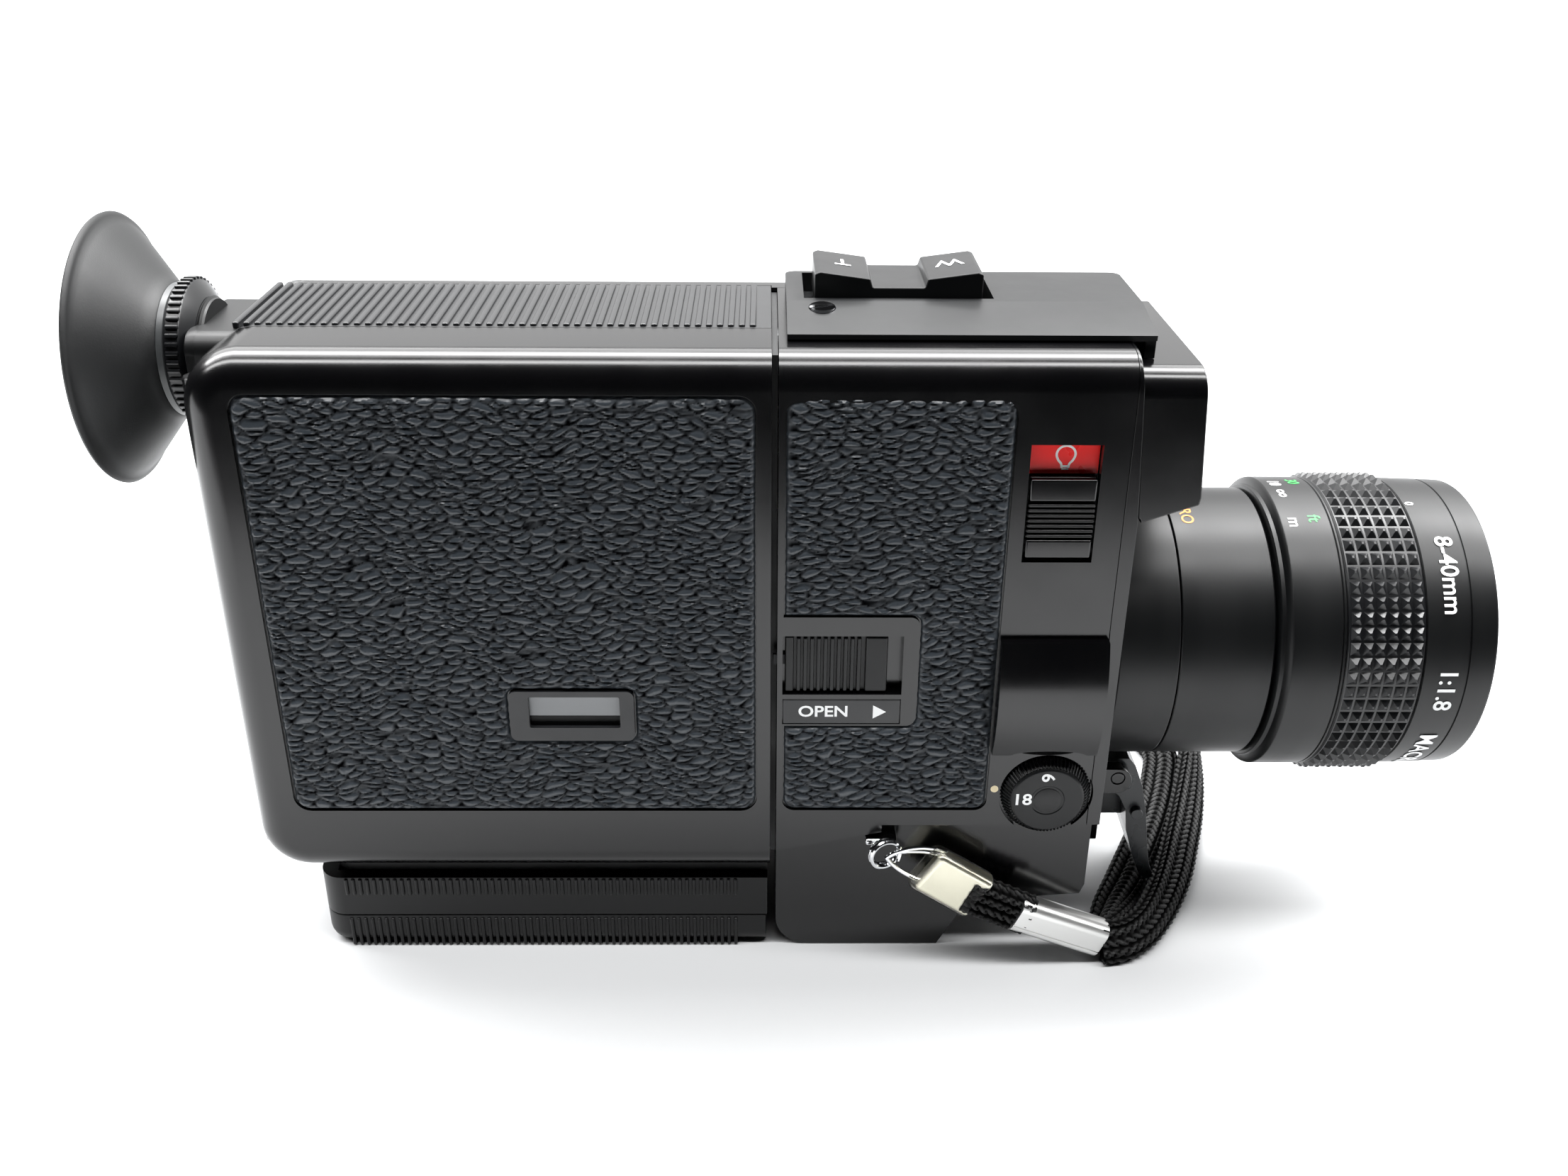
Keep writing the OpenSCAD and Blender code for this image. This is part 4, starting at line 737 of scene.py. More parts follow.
door = film_stock("film_door_shell", x1 + 6)
inside = film_stock("door_inside", x1 + 8, 2.2, 3.0)
door = cut(door, inside)
door = cut(door, box("rest", (x0 - 1, HINGE.y + 0.2, foot - 1), (x1 + 8, -side + 1, top - 2.2)),
           box("far_top", (x0 - 1, LID, top - 5), (x1 + 8, -side + 1, top + 1)),
           box("front_end", (x1, side - 1, foot - 1), (x1 + 8, -side + 1, top + 1)))
door = cut(door, box("leather_seat", (x0 + 7.4, side - 1, foot + 12.8),
                     (x1 - 2.1, side + 0.45, top - 5.5), 2.6, crosswise))
W0, W1 = low("film_window") / MM, high("film_window") / MM
door = cut(door, box("window_hole", (W0.x + 3.05, side - 1, W0.z + 2.4),
                     (W1.x - 2.25, side + 3, W1.z - 1.0)))
KNUCKLE_FOOT, KNUCKLE_PITCH = 20, 16
for k in range(5):
    z = KNUCKLE_FOOT + KNUCKLE_PITCH * k
    if k % 2:
        door = cut(door, box("gap_%d" % k, (x0 - 1, HINGE.y - 2.2, z - 0.3),
                             (x0 + 4.6, HINGE.y + 3, z + KNUCKLE_PITCH)))
door = soften(door, 0.28, 2, 42)
knuckle_shape = [(0.2, 0.85), (0.2, 1.6), (0.4, 1.8), (15.3, 1.8), (15.5, 1.6), (15.5, 0.85), (0.2, 0.85)]
knuckles = []
for k in (0, 2, 4):
    knuckle_at = Vector((HINGE.x, HINGE.y, KNUCKLE_FOOT + KNUCKLE_PITCH * k)) * MM
    knuckles.append(turned("knuckle", knuckle_shape, knuckle_at, "+Z", 32))
door = join("film_door_shell", door, *knuckles)
finish_piece(door, "door", ABS, ["film_door"])


# %% [markdown]
# ## Embossed leatherette
# The three panels are thin sheets pressed with a pebble grain: pebbles about 3 mm long and 1 mm
# high, staggered like scales, with narrow creases. A fine grid is trimmed to a rounded outline, and
# each vertex is raised by how far it lies inside its own pebble. The pebble's middle points are
# scattered with a fixed seed, so the grain is the same every time.

# %% Distance to a rounded outline
def outside(px, pz, x_a, z_a, x_b, z_b, radius):
    """Signed distance to a rounded rectangle, negative inside."""
    dx = np.abs(px - (x_a + x_b) / 2) - (x_b - x_a) / 2 + radius
    dz = np.abs(pz - (z_a + z_b) / 2) - (z_b - z_a) / 2 + radius
    return np.hypot(np.maximum(dx, 0), np.maximum(dz, 0)) + np.minimum(np.maximum(dx, dz), 0) - radius


# %% [markdown]
# A pebble grain is a field of cells: each point belongs to the nearest of the scattered middles, and
# the difference to the second nearest tells how far the crease is. Rows are staggered like bricks, and
# two slow waves keep them from running straight.

# %% Pebbles
def pebbles(px, pz, seed):
    """At points in millimetres: the height, 0 in a crease to 1 on a pebble, how far the point lies
    above its pebble's middle, and how deep in a crease it is."""
    rng = np.random.default_rng(seed)
    wave = 0.55 * np.sin(px / 5.3 + 1.3 * np.sin(pz / 7.1)) + 0.4 * np.sin(px / 2.3 + pz / 3.7 + 0.7)
    u = px / 3.0 + 0.2 * np.sin(pz / 2.9)
    v = (pz + wave) / 1.0
    cols, rows = int(u.max()) + 6, int(v.max()) + 6
    jitter = rng.uniform(-0.42, 0.42, (cols + 4, rows + 4, 2))
    size = rng.uniform(0.75, 1.15, (cols + 4, rows + 4))
    near = np.full((3, px.size), 9.0)
    lean = np.zeros(px.size)
    for di in (-2, -1, 0, 1, 2):
        for dj in (-1, 0, 1):
            j = np.clip(np.floor(v).astype(int) + dj, 0, rows + 3)
            shift = 0.5 * (j % 2)
            i = np.clip(np.floor(u - shift).astype(int) + di, 0, cols + 3)
            cx = i + shift + 0.5 + jitter[i, j, 0]
            cz = j + 0.5 + jitter[i, j, 1]
            dist = np.hypot(u - cx, (v - cz) * 0.9) / size[i, j]
            first, second = dist < near[0], (dist >= near[0]) & (dist < near[1])
            near[1] = np.where(first, near[0], np.where(second, dist, near[1]))
            near[0] = np.where(first, dist, near[0])
            lean = np.where(first, v - cz, lean)
    gap = near[1] - near[0]
    rise = np.clip(gap / 0.5, 0, 1)
    # The crease weight is painted shade: it is heaviest on the lower side of each pebble, where light from
    # above leaves shade.
    crease = np.clip(1.3 - gap / 0.3, 0, 1) * np.clip(0.75 - lean, 0.35, 1)
    return rise * rise * (3 - 2 * rise), lean, crease


# %% [markdown]
# The panel is one fine grid. Vertices near the outline are drawn onto it, those beyond it are deleted,
# and the height field is written straight into the mesh, so the relief casts real shadows.

# %% A panel of leatherette
def leather_panel(name, x_a, z_a, x_b, z_b, radius, holes=(), facing=-1, seed=3, cell=0.25):
    """A panel between two corners, in millimetres, on the side where facing is the sign of Y. Each
    hole is a rounded rectangle (x, z, x, z, radius)."""
    nx, nz = int(round((x_b - x_a) / cell)), int(round((z_b - z_a) / cell))
    bpy.ops.mesh.primitive_grid_add(x_subdivisions=nx, y_subdivisions=nz, size=1)
    obj = bpy.context.object
    obj.name = name
    co = np.empty(len(obj.data.vertices) * 3)
    obj.data.vertices.foreach_get("co", co)
    co = co.reshape(-1, 3)
    px = x_a - 0.2 + (co[:, 0] + 0.5) * (x_b - x_a + 0.4)
    pz = z_a - 0.2 + (co[:, 1] + 0.5) * (z_b - z_a + 0.4)

    def signed(qx, qz):
        d = outside(qx, qz, x_a, z_a, x_b, z_b, radius)
        for hole in holes:
            d = np.maximum(d, -outside(qx, qz, *hole))
        return d

    # vertices just outside are drawn onto the outline, the others outside are removed
    for _ in range(3):
        d = signed(px, pz)
        gx, gz = (signed(px + 0.01, pz) - d) / 0.01, (signed(px, pz + 0.01) - d) / 0.01
        close = (d > 0) & (d < cell * 1.2)
        px, pz = np.where(close, px - gx * d, px), np.where(close, pz - gz * d, pz)
    d = signed(px, pz)
    rise, lean, crease = pebbles(px - x_a + 4, pz - z_a + 4, seed)
    border = np.clip(-d / 0.9, 0, 1)
    raised = 0.42 * rise - 0.36 * lean * rise
    level = (0.02 + raised) * border + 0.12 * np.sqrt(border) - 0.12
    y = facing * (-SIDE / MM + 0.02 + np.minimum(level - 0.12, 0.34) - 0.45 * (1 - border) ** 2)
    xyz = np.stack([px, y, pz], axis=1) * MM
    obj.data.vertices.foreach_set("co", xyz.ravel())
    # The crease attribute carries the painted shade and highlight of the leatherette's finish.
    mark = obj.data.attributes.new("crease", "FLOAT", "POINT")
    mark.data.foreach_set("value", (crease * border).astype(np.float32))
    keep = d <= 0.02
    only(obj)
    bpy.ops.object.mode_set(mode="EDIT")
    bpy.ops.mesh.select_mode(type="VERT")
    bpy.ops.mesh.select_all(action="DESELECT")
    leave()
    obj.data.vertices.foreach_set("select", ~keep)
    bpy.ops.object.mode_set(mode="EDIT")
    bpy.ops.mesh.delete(type="VERT")
    leave()
    edit(obj)
    bpy.ops.mesh.select_mode(type="EDGE")
    bpy.ops.mesh.select_all(action="DESELECT")
    bpy.ops.mesh.select_non_manifold()
    bpy.ops.mesh.extrude_region_move(TRANSFORM_OT_translate={"value": (0, -facing * 0.3 * MM, 0)})
    bpy.ops.mesh.fill(use_beauty=False)
    bpy.ops.mesh.select_all(action="SELECT")
    bpy.ops.mesh.normals_make_consistent(inside=False)
    leave()
    return obj


# %% [markdown]
# The border is pulled inwards and filled, which closes the sheet behind. The door's panel has an
# opening for the film window. The front panel goes round the raised frame of the latch and its label.

# %% Door leather
D0, D1 = low("door_leather") / MM, high("door_leather") / MM
FRAME = (W0.x, W0.z, W1.x, W1.z, 1.2)
print("window frame in mm:", [round(v, 2) for v in FRAME])
door_panel = leather_panel("door_leatherette", D0.x, D0.z, D1.x, D1.z + 0.9, 2.55, [FRAME], seed=3)
finish_piece(door_panel, "door", LEATHER, ["door_leather"], angle=60)

# %% [markdown]
# The front panel has smaller corners, and an opening that runs off its rear edge for the latch.

# %% Front leather
F0, F1 = low("front_leather") / MM, high("front_leather") / MM
LATCH0, LATCH1 = low("latch_slide") / MM, high("latch_slide") / MM
LABEL0, LABEL1 = low("latch_label") / MM, high("latch_label") / MM
latch_hole = (F0.x - 6, LABEL0.z - 0.4, LABEL1.x + 2.45, LATCH1.z + 3.55, 1.4)
front_panel = leather_panel("front_leatherette", F0.x, F0.z, F1.x, F1.z + 0.9, 1.95, [latch_hole], seed=8)
finish_piece(front_panel, "body", LEATHER, ["front_leather"], angle=60)

# %% [markdown]
# The left panel is plain and gets a coarser grid, because it is seen less.

# %% Left leather
L0, L1 = low("left_leather") / MM, high("left_leather") / MM
left_panel = leather_panel("left_leatherette", L0.x, L0.z, L1.x, L1.z, 2.55, (), 1, 21, 0.45)
finish_piece(left_panel, "body", LEATHER, ["left_leather"], angle=60)

# %% [markdown]
# The film window is a flat satin frame with rounded corners and a deep hole. A grey acrylic pane sits
# in the upper part of the hole and a glossy black sill below it.

# %% Film window
frame_plate = box("window_frame", (W0.x + 0.05, side - 0.3, W0.z + 0.05),
                  (W1.x - 0.05, side + 0.44, W1.z - 0.05), 1.1, crosswise)
frame_plate = cut(frame_plate, box("hole", (W0.x + 3.05, side - 1, W0.z + 2.4),
                                   (W1.x - 2.25, side + 1, W1.z - 1.0), 0.3, crosswise))
soften(frame_plate, 0.12, 2, 50)
finish_piece(frame_plate, "door", LABEL, ["film_window"])
pane = box("window_pane", (W0.x + 3.0, side + 0.8, W0.z + 4.0), (W1.x - 2.2, side + 1.6, W1.z - 1.05))
finish_piece(pane, "door", WINDOW)
sill = box("window_sill", (W0.x + 3.0, side + 1.0, W0.z + 2.3), (W1.x - 2.2, side + 1.6, W0.z + 3.9), 0.15)
finish_piece(sill, "door", DARK)

# %% [markdown]
# ## The fixed shells
# The left cover, the front cover with its lens seat, the front plate, the grip block and the hood are
# exact in the frame. Their merged copies get rounds on every sharp edge, as a mould leaves them,
# which is what draws the thin bright lines along the borders. The top plate falls a little towards
# the door and ends in a thin lip, the grip block has a large round at its lower rear corner, and the
# lens seat has a shallow hollow above the dial.

# %% Softened copies of the frame's mouldings
for node, width, segments, body, finish_name, slot_name in (
        ("left_cover", 0.3, 2, "body", ABS, "black_plastic"),
        ("front_cover", 0.28, 2, "body", ABS, "black_plastic"),
        ("front_plate", 0.5, 3, "body", ABS, "black_plastic"),
        ("base_block", 0.55, 3, "body", ABS, "black_plastic"),
        ("hood", 1.2, 4, "body", ABS, "black_plastic"),
        ("top_plate", 0.5, 3, "body", ENAMEL, "black_enamel"),
        ("zoom_rocker", 0.55, 3, "rocker", KEY, "key_plastic"),
        ("trigger", 0.45, 3, "trigger", GREY_TRIGGER, "key_plastic"),
        ("trigger_guide", 0.3, 2, "body", ABS, "black_plastic"),
        ("eyepiece_tube", 0.3, 2, "body", ANODISED, "lens_black")):
    piece = merged(node, node + "_moulding")
    if node == "left_cover":
        piece = cut(piece, film_stock("corner_stock", FRONT / MM + 5, 0, 0, 40), how="INTERSECT")
    if node == "top_plate":
        low_x, low_y, low_z = (c / MM for c in low(node))
        plate_end = FRONT / MM - 0.1
        edge_y, edge_z, flat_y, flat_z = -14.4, top + 1.05, -4.0, high(node).z / MM
        piece = cut(piece, box("near_border", (low_x - 1, low_y - 1, low_z - 1),
                               (plate_end, edge_y, flat_z + 1)))
        slope = box("slope", (low_x - 1, low_y - 9, 0), (FRONT / MM + 9, flat_y - low_y, 9))
        slope.data.transform(Matrix.Translation(Vector((0, flat_y, flat_z)) * MM)
                             @ Matrix.Rotation(math.atan2(flat_z - edge_z, flat_y - edge_y), 4, "X")
                             @ Matrix.Translation(Vector((0, low_y - flat_y, 0)) * MM))
        piece = cut(piece, slope)
        piece = cut(piece, box("shadow_gap", (low_x - 1, edge_y - 1, low_z - 1),
                               (plate_end, edge_y + 0.5, top + 0.3)))
    if node == "base_block":
        b0, b1 = low(node) / MM, high(node) / MM
        rounded = box("rear_round", (b0.x, b0.y - 1, b0.z), (b1.x + 1, b1.y + 1, b1.z + 1), 5.5,
                      lambda m, d: crosswise(m, d) and m.x < (b0.x + 1) * MM and m.z < (b0.z + 1) * MM, 10)
        piece = cut(piece, rounded, how="INTERSECT")
    if node == "front_cover":
        bpy.ops.mesh.primitive_uv_sphere_add(segments=48, ring_count=24, radius=MM, scale=(5.8, 2.5, 1.0),
                                             location=(0.0275, -0.0235, 0.0402))
        piece = cut(piece, settle(bpy.context.object))
    if node == "eyepiece_tube":
        block = box("block", (x0 - 1.6, -11, EYE.z / MM - 9.4), (x0 + 9, 11, top - 0.6), 3.0, lengthwise)
        piece = join(piece.name, piece, block)
    soften(piece, width, segments, 38)
    finish_piece(piece, body, finish_name, [node])

# %% [markdown]
# ## Ribbed strip over the film chamber
# The strip is a plate whose rear edge turns down, with a row of fine ribs. One rib is modelled and
# an array sets the rest at 1.6 mm. Each rib has rounded ends, which shows as a row of small scallops.

# %% Ribbed top
T0, T1 = low("top_cover") / MM, high("top_cover") / MM
strip = box("ribbed_top", (T0.x, T0.y, T0.z - 5), (T1.x, T1.y, top), REAR_TOP,
            lambda m, d: abs(d.y) > 0.9 and m.x < (T0.x + 1) * MM and m.z > (top - 1) * MM, 10)
strip = cut(strip, box("under", (T0.x + 5, T0.y - 1, T0.z - 9), (T1.x + 1, T1.y + 1, T0.z)))
casting = cut(merged("chassis", "chassis_casting"), film_stock("corner_stock", x1 + 9, 0.3, 0, 40),
              how="INTERSECT")
trap = box("light_trap", (x1 + 0.05, side + 3.5, foot + 2.5), (x1 + 0.9, 14, top - 0.7))
casting = join("chassis_casting", casting, trap)
finish_piece(casting, "body", CAST, ["chassis"])
finder_bore = turned("finder_bore", [(-4, 3.66), (90, 3.66)], Vector((T0.x * MM, 0, EYE.z)), "+X", 48)
strip = cut(strip, finder_bore)
soften(strip, 0.25, 2, 40)
finish_piece(strip, "body", RIBBED, ["top_cover"])
rib = box("top_ribs", (T0.x + 4.6, T0.y + 0.4, top - 0.5), (T0.x + 5.55, T1.y - 0.4, top + 0.4), 0.3,
          lambda m, d: m.z > (top + 0.2) * MM or abs(d.z) > 0.9, 3)
rib_count = int((T1.x - T0.x - 6.2) / 1.6) + 1
modify(rib, "ARRAY", count=rib_count, use_relative_offset=False, use_constant_offset=True,
       constant_offset_displace=(1.6 * MM, 0, 0))
finish_piece(rib, "body", RIBBED)

# %% [markdown]
# ## The foot
# A battery housing with a sliding cover below it, both with fine upright ribs on their sides. The
# cover's lower rear corner is rounded, and its rear end is rounded in plan too.

# %% Battery housing and cover
H0, H1 = low("battery_housing") / MM, high("battery_housing") / MM
C0, C1 = low("battery_cover") / MM, high("battery_cover") / MM
foot_half = 20.1
foot_rear = H0.x - 1.4
housing = box("battery_housing_shell", (foot_rear, -foot_half, H0.z), (H1.x, foot_half, H1.z - 1.95), 4.0,
              lambda m, d: abs(d.z) > 0.9 and m.x < (H0.x + 1) * MM, 8)
neck = box("neck", (H0.x + 1, -foot_half + 2, H1.z - 3), (H1.x, foot_half - 2, H1.z), 3.0,
           lambda m, d: abs(d.z) > 0.9 and m.x < (H0.x + 2) * MM, 8)
housing = cut(housing, neck, how="UNION")
housing = cut(housing, box("cells", (H0.x + 1.6, -foot_half + 2.2, H0.z - 1),
                           (H1.x - 1.6, foot_half - 2.2, 14.1)))
soften(housing, 0.3, 2, 40)
lid = box("battery_cover_shell", (foot_rear, -foot_half, C0.z), (C1.x, foot_half, C1.z), 4.0,
          lambda m, d: abs(d.z) > 0.9 and m.x < (C0.x + 1) * MM, 8)
edit(lid)
pick_edges(lid, lambda m, d: m.z < 0.01 * MM and m.x < C1.x * MM - 0.001)
bpy.ops.mesh.bevel(offset=2.6 * MM, segments=6, affect="EDGES")
leave()
lid = cut(lid, box("cells", (C0.x + 1.8, -foot_half + 2.2, 1.4), (C1.x + 1, foot_half - 2.2, C1.z + 1)))
soften(lid, 0.25, 2, 40)


def rib_row(name, x_a, x_b, z_a, z_b, pitch=1.15):
    """Upright ribs on both sides of the foot."""
    rows = []
    for sign in (-1, 1):
        one = box(name, (x_a, sign * foot_half - 0.33, z_a), (x_a + 0.62, sign * foot_half + 0.33, z_b),
                  0.25, lambda m, d: m.y * sign > (foot_half + 0.2) * MM or crosswise(m, d), 3)
        modify(one, "ARRAY", count=int((x_b - x_a) / pitch), use_relative_offset=False,
               use_constant_offset=True, constant_offset_displace=(pitch * MM, 0, 0))
        rows.append(one)
    return join(name, *rows)


housing_ribs = rib_row("housing_ribs", H0.x + 3.0, H1.x - 3.4, H1.z - 5.4, H1.z - 2.1)
lid_ribs = rib_row("cover_ribs", C0.x + 3.0, C1.x - 3.2, 0.15, C1.z - 0.5)
# The foot and its ribs take the darker finish, whose colour is painted shade.
finish_piece(housing, "body", SHADED_FOOT, ["battery_housing"])
finish_piece(housing_ribs, "body", SHADED_FOOT)
finish_piece(lid, "battery_lid", SHADED_FOOT, ["battery_cover"])
finish_piece(lid_ribs, "battery_lid", SHADED_FOOT)

# %% [markdown]
# ## Lettering
# Letters are thin printed shapes. Flat ones are set on the side, the top or the dial; those on the
# lens are wrapped: each vertex's way along the line becomes an angle round the barrel.

# %% Letters
def letters(name, text, size, bold=0.0, wide=1.0, thick=0.025):
    """Flat lettering round the origin, height size in millimetres, thin as ink."""
    curve = bpy.data.curves.new(name, "FONT")
    curve.body, curve.size = text, size / 0.73 * MM
    curve.align_x, curve.align_y = "CENTER", "CENTER"
    curve.offset, curve.extrude = bold * MM, thick * MM
    curve.resolution_u = 4
    obj = bpy.data.objects.new(name, curve)
    bpy.context.collection.objects.link(obj)
    only(obj)
    bpy.ops.object.convert(target="MESH")
    obj = bpy.context.object
    obj.data.transform(Matrix.Diagonal((wide, 1, 1, 1)))
    edit(obj)
    bpy.ops.mesh.remove_doubles(threshold=1e-7)
    bpy.ops.mesh.normals_make_consistent(inside=False)
    leave()
    return obj


SIDEWAYS = Matrix.Rotation(math.pi / 2, 4, "X")


def set_flat(obj, at, spin=0.0, facing=SIDEWAYS):
    turn = facing @ Matrix.Rotation(math.radians(spin), 4, "Z")
    obj.data.transform(Matrix.Translation(Vector(at) * MM) @ turn)
    return obj


def wrap(obj, x, radius, angle):
    """Wraps flat lettering round the lens. Its line runs round the barrel from the top towards the
    door side, and its letters' tops point forward. The angle is counted from the top, in degrees."""
    for vertex in obj.data.vertices:
        turn = math.radians(angle) + vertex.co.x / (radius * MM)
        r = radius * MM + vertex.co.z
        vertex.co = Vector((x * MM + vertex.co.y, -r * math.sin(turn), AXIS.z + r * math.cos(turn)))
    return obj

# %% [markdown]
# ## The latch
# A slide in a recess: a smooth strip, ten fine upright ribs for the thumb and a smooth block. The
# label below it is a separate printed plate, and a small steel hook reaches over the seam.

# %% Latch slide, label and hook
lx0, lx1, lz0, lz1 = LATCH0.x + 1.9, LATCH1.x, LATCH0.z, LATCH1.z
parts = [box("latch", (lx0, side + 1.1, lz0), (lx1, side + 1.9, lz1), 0.15),
         box("latch", (lx0, side + 0.45, lz0), (lx0 + 1.3, side + 1.3, lz1), 0.25, segments=3),
         box("latch", (lx1 - 3.4, side + 0.35, lz0), (lx1, side + 1.3, lz1), 0.35, segments=3)]
thumb = box("latch", (lx0 + 1.75, side + 0.28, lz0 + 0.15), (lx0 + 2.35, side + 1.3, lz1 - 0.15), 0.22,
            segments=3)
modify(thumb, "ARRAY", count=10, use_relative_offset=False, use_constant_offset=True,
       constant_offset_displace=(1.02 * MM, 0, 0))
latch = join("latch_thumb_slide", *parts, thumb)
finish_piece(latch, "latch", KEY, ["latch_slide"])
hook = box("latch_hook", (LATCH0.x, side + 1.5, 54.9), (lx0 + 0.1, side + 2.1, 56.7), 0.15, segments=2)
finish_piece(hook, "latch", BLUED)
plate = box("label_plate", LABEL0, LABEL1, 0.18, segments=3)
finish_piece(plate, "body", LABEL, ["latch_label"])
label_z = (LABEL0.z + LABEL1.z) / 2
word = set_flat(letters("label_word", "OPEN", 1.95, 0.05, 1.12), (-7.85, LABEL0.y - 0.01, label_z))
bpy.ops.mesh.primitive_cylinder_add(vertices=3, radius=1.35 * MM, depth=0.05 * MM)
arrow = bpy.context.object
arrow.name = "label_arrow"
settle(arrow)
arrow.data.transform(Matrix.Rotation(math.radians(-90), 4, "Z"))
set_flat(arrow, (0.5, LABEL0.y - 0.01, label_z))
word = join("label_print", word, arrow)
finish_piece(word, "body", WHITE, angle=0)

# %% [markdown]
# ## The filter switch
# A red window with the white outline of a bulb, above a slider whose finger ribs run across. The
# slider's top block is polished, so it reads as black with a thin bright edge.

# %% Switch slider
S0, S1 = low("filter_switch") / MM, high("filter_switch") / MM
parts = [box("switch", (S0.x, side + 0.8, S0.z), (S1.x, side + 1.6, S1.z), 0.15),
         box("switch", (S0.x, side - 0.28, S1.z - 3.4), (S1.x, side + 1.0, S1.z), 0.3, segments=3),
         box("switch", (S0.x, side - 0.28, S0.z), (S1.x, side + 1.0, S0.z + 2.9), 0.3, segments=3)]
finger = box("switch", (S0.x, side - 0.25, S0.z + 3.3), (S1.x, side + 1.0, S0.z + 3.72), 0.16, segments=3)
modify(finger, "ARRAY", count=7, use_relative_offset=False, use_constant_offset=True,
       constant_offset_displace=(0, 0, 0.8 * MM))
slider = join("switch_slider", *parts, finger)
finish_piece(slider, "switch", GLOSS, ["filter_switch"])

# %% [markdown]
# The bulb is drawn as a wire along its outline and then flattened to the thickness of ink.

# %% Lamp window with a bulb outline
R0, R1 = low("lamp_window") / MM, high("lamp_window") / MM
lamp = box("red_lamp_window", R0, R1, 0.1, segments=2)
finish_piece(lamp, "body", RED, ["lamp_window"])
bx, bz, ink_y = (R0.x + R1.x) / 2 + 0.2, R0.z + 2.9, R0.y - 0.04
outline = [(bx - 0.5, ink_y, bz - 2.0), (bx - 0.5, ink_y, bz - 1.4), (bx - 0.9, ink_y, bz - 1.0)]
outline += [(bx + 1.4 * math.cos(t), ink_y, bz + 0.1 + 1.35 * math.sin(t))
            for t in [math.radians(218 - 32 * i) for i in range(9)]]
outline += [(bx + 0.9, ink_y, bz - 1.0), (bx + 0.5, ink_y, bz - 1.4), (bx + 0.5, ink_y, bz - 2.0)]
marks = [wire("bulb", outline, 0.17)]
for lift in (-1.75, -2.15):
    cap_line = [(bx + across, ink_y, bz + lift) for across in (-0.5, 0, 0.5)]
    marks.append(wire("bulb", cap_line, 0.17))
bulb = join("bulb_mark", *marks)
flat_y = Vector((0, R0.y - 0.01, 0)) * MM
bulb.data.transform(Matrix.Translation(flat_y) @ Matrix.Diagonal((1, 0.12, 1, 1))
                    @ Matrix.Translation(Vector((0, -ink_y, 0)) * MM))
finish_piece(bulb, "body", WHITE)

# %% [markdown]
# ## The speed dial
# A low cone with a fine knurl, a flat face with two printed speeds and a dark centre disc. One tooth
# is modelled and spun into the whole knurl.


# %% Spinning copies
def spun(obj, count, centre, axis):
    """Fills a full turn with copies of what is in the mesh."""
    edit(obj)
    bpy.ops.mesh.spin(steps=count - 1, dupli=True, angle=2 * math.pi * (count - 1) / count,
                      center=centre, axis=axis)
    leave()
    return obj


# %% [markdown]
# The dial is turned, its teeth are laid on the slope of the cone, and the two speeds are printed on
# its face, with a small index dot beside it on the cover.

# %% Dial
DIAL0, DIAL1 = low("speed_dial") / MM, high("speed_dial") / MM
dial_at = Vector(((DIAL0.x + DIAL1.x) / 2, side + 0.75, (DIAL0.z + DIAL1.z) / 2)) * MM
cone_shape = [(0, 6.6), (0.45, 6.9), (1.9, 6.0), (2.2, 5.75), (2.4, 5.4), (2.4, 2.75), (2.28, 2.6),
              (2.28, 2.3)]
dial = turned("dial_cone", cone_shape, dial_at, "-Y", 72)
tooth = box("tooth", (-0.17, -2.1, -0.5), (0.17, 0.0, 0.35), 0.14, crosswise, 2)
tooth.data.transform(Matrix.Translation(dial_at + Vector((0, -0.2, 6.9)) * MM)
                     @ Matrix.Rotation(math.radians(31), 4, "X"))
spun(tooth, 68, dial_at, (0, 1, 0))
dial = join("dial_knurled_cone", dial, tooth)
finish_piece(dial, "dial", KEY, ["speed_dial"])
hub = turned("dial_hub", [(2.2, 2.2), (2.36, 2.2), (2.42, 2.1), (2.42, 0.1)], dial_at, "-Y", 48)
finish_piece(hub, "dial", DARK)
print_y = dial_at.y / MM - 2.41
dial_x, dial_z = dial_at.x / MM, dial_at.z / MM
speed_a = set_flat(letters("dial_18", "18", 2.1, 0.05, 1.1), (dial_x - 4.05, print_y, dial_z + 0.1))
speed_b = set_flat(letters("dial_9", "9", 2.1, 0.05, 1.1), (dial_x - 0.1, print_y, dial_z + 4.3), 90)
speeds = join("dial_print", speed_a, speed_b)
finish_piece(speeds, "dial", WHITE, angle=0)
dot_at = Vector((dial_at.x - 8.3 * MM, SIDE, dial_at.z + 1.1 * MM))
dot = turned("index_dot", [(0, 0.62), (0.05, 0.62)], dot_at, "-Y", 24)
finish_piece(dot, "body", CREAM, angle=0)

# %% [markdown]
# ## Rocker letters
# The two zoom letters are read from behind the camera, with the lens pointing away, so from the door
# side they stand on their heads. They lie on the slopes of the keys.

# %% Tele and wide
K0, K1 = low("zoom_rocker") / MM, high("zoom_rocker") / MM
key_z = K1.z - 0.45
for name, text, x, lean in (("letter_tele", "T", K0.x + 4.4, 7.7), ("letter_wide", "W", K1.x - 4.4, -7.7)):
    sign = letters(name, text, 3.4, 0.03, 0.9)
    turn = Matrix.Rotation(math.radians(lean), 4, "Y")
    sign.data.transform(Matrix.Translation(Vector((x, 6.0, key_z + 0.02)) * MM) @ turn
                        @ Matrix.Rotation(math.pi, 4, "Z"))
    finish_piece(sign, "rocker", WHITE, angle=0)

# %% [markdown]
# ## The zoom lens
# All rings are turned pieces on the lens axis. Each has small chamfers at its ends, which catch the
# light as thin rings, and black gaps between neighbours.

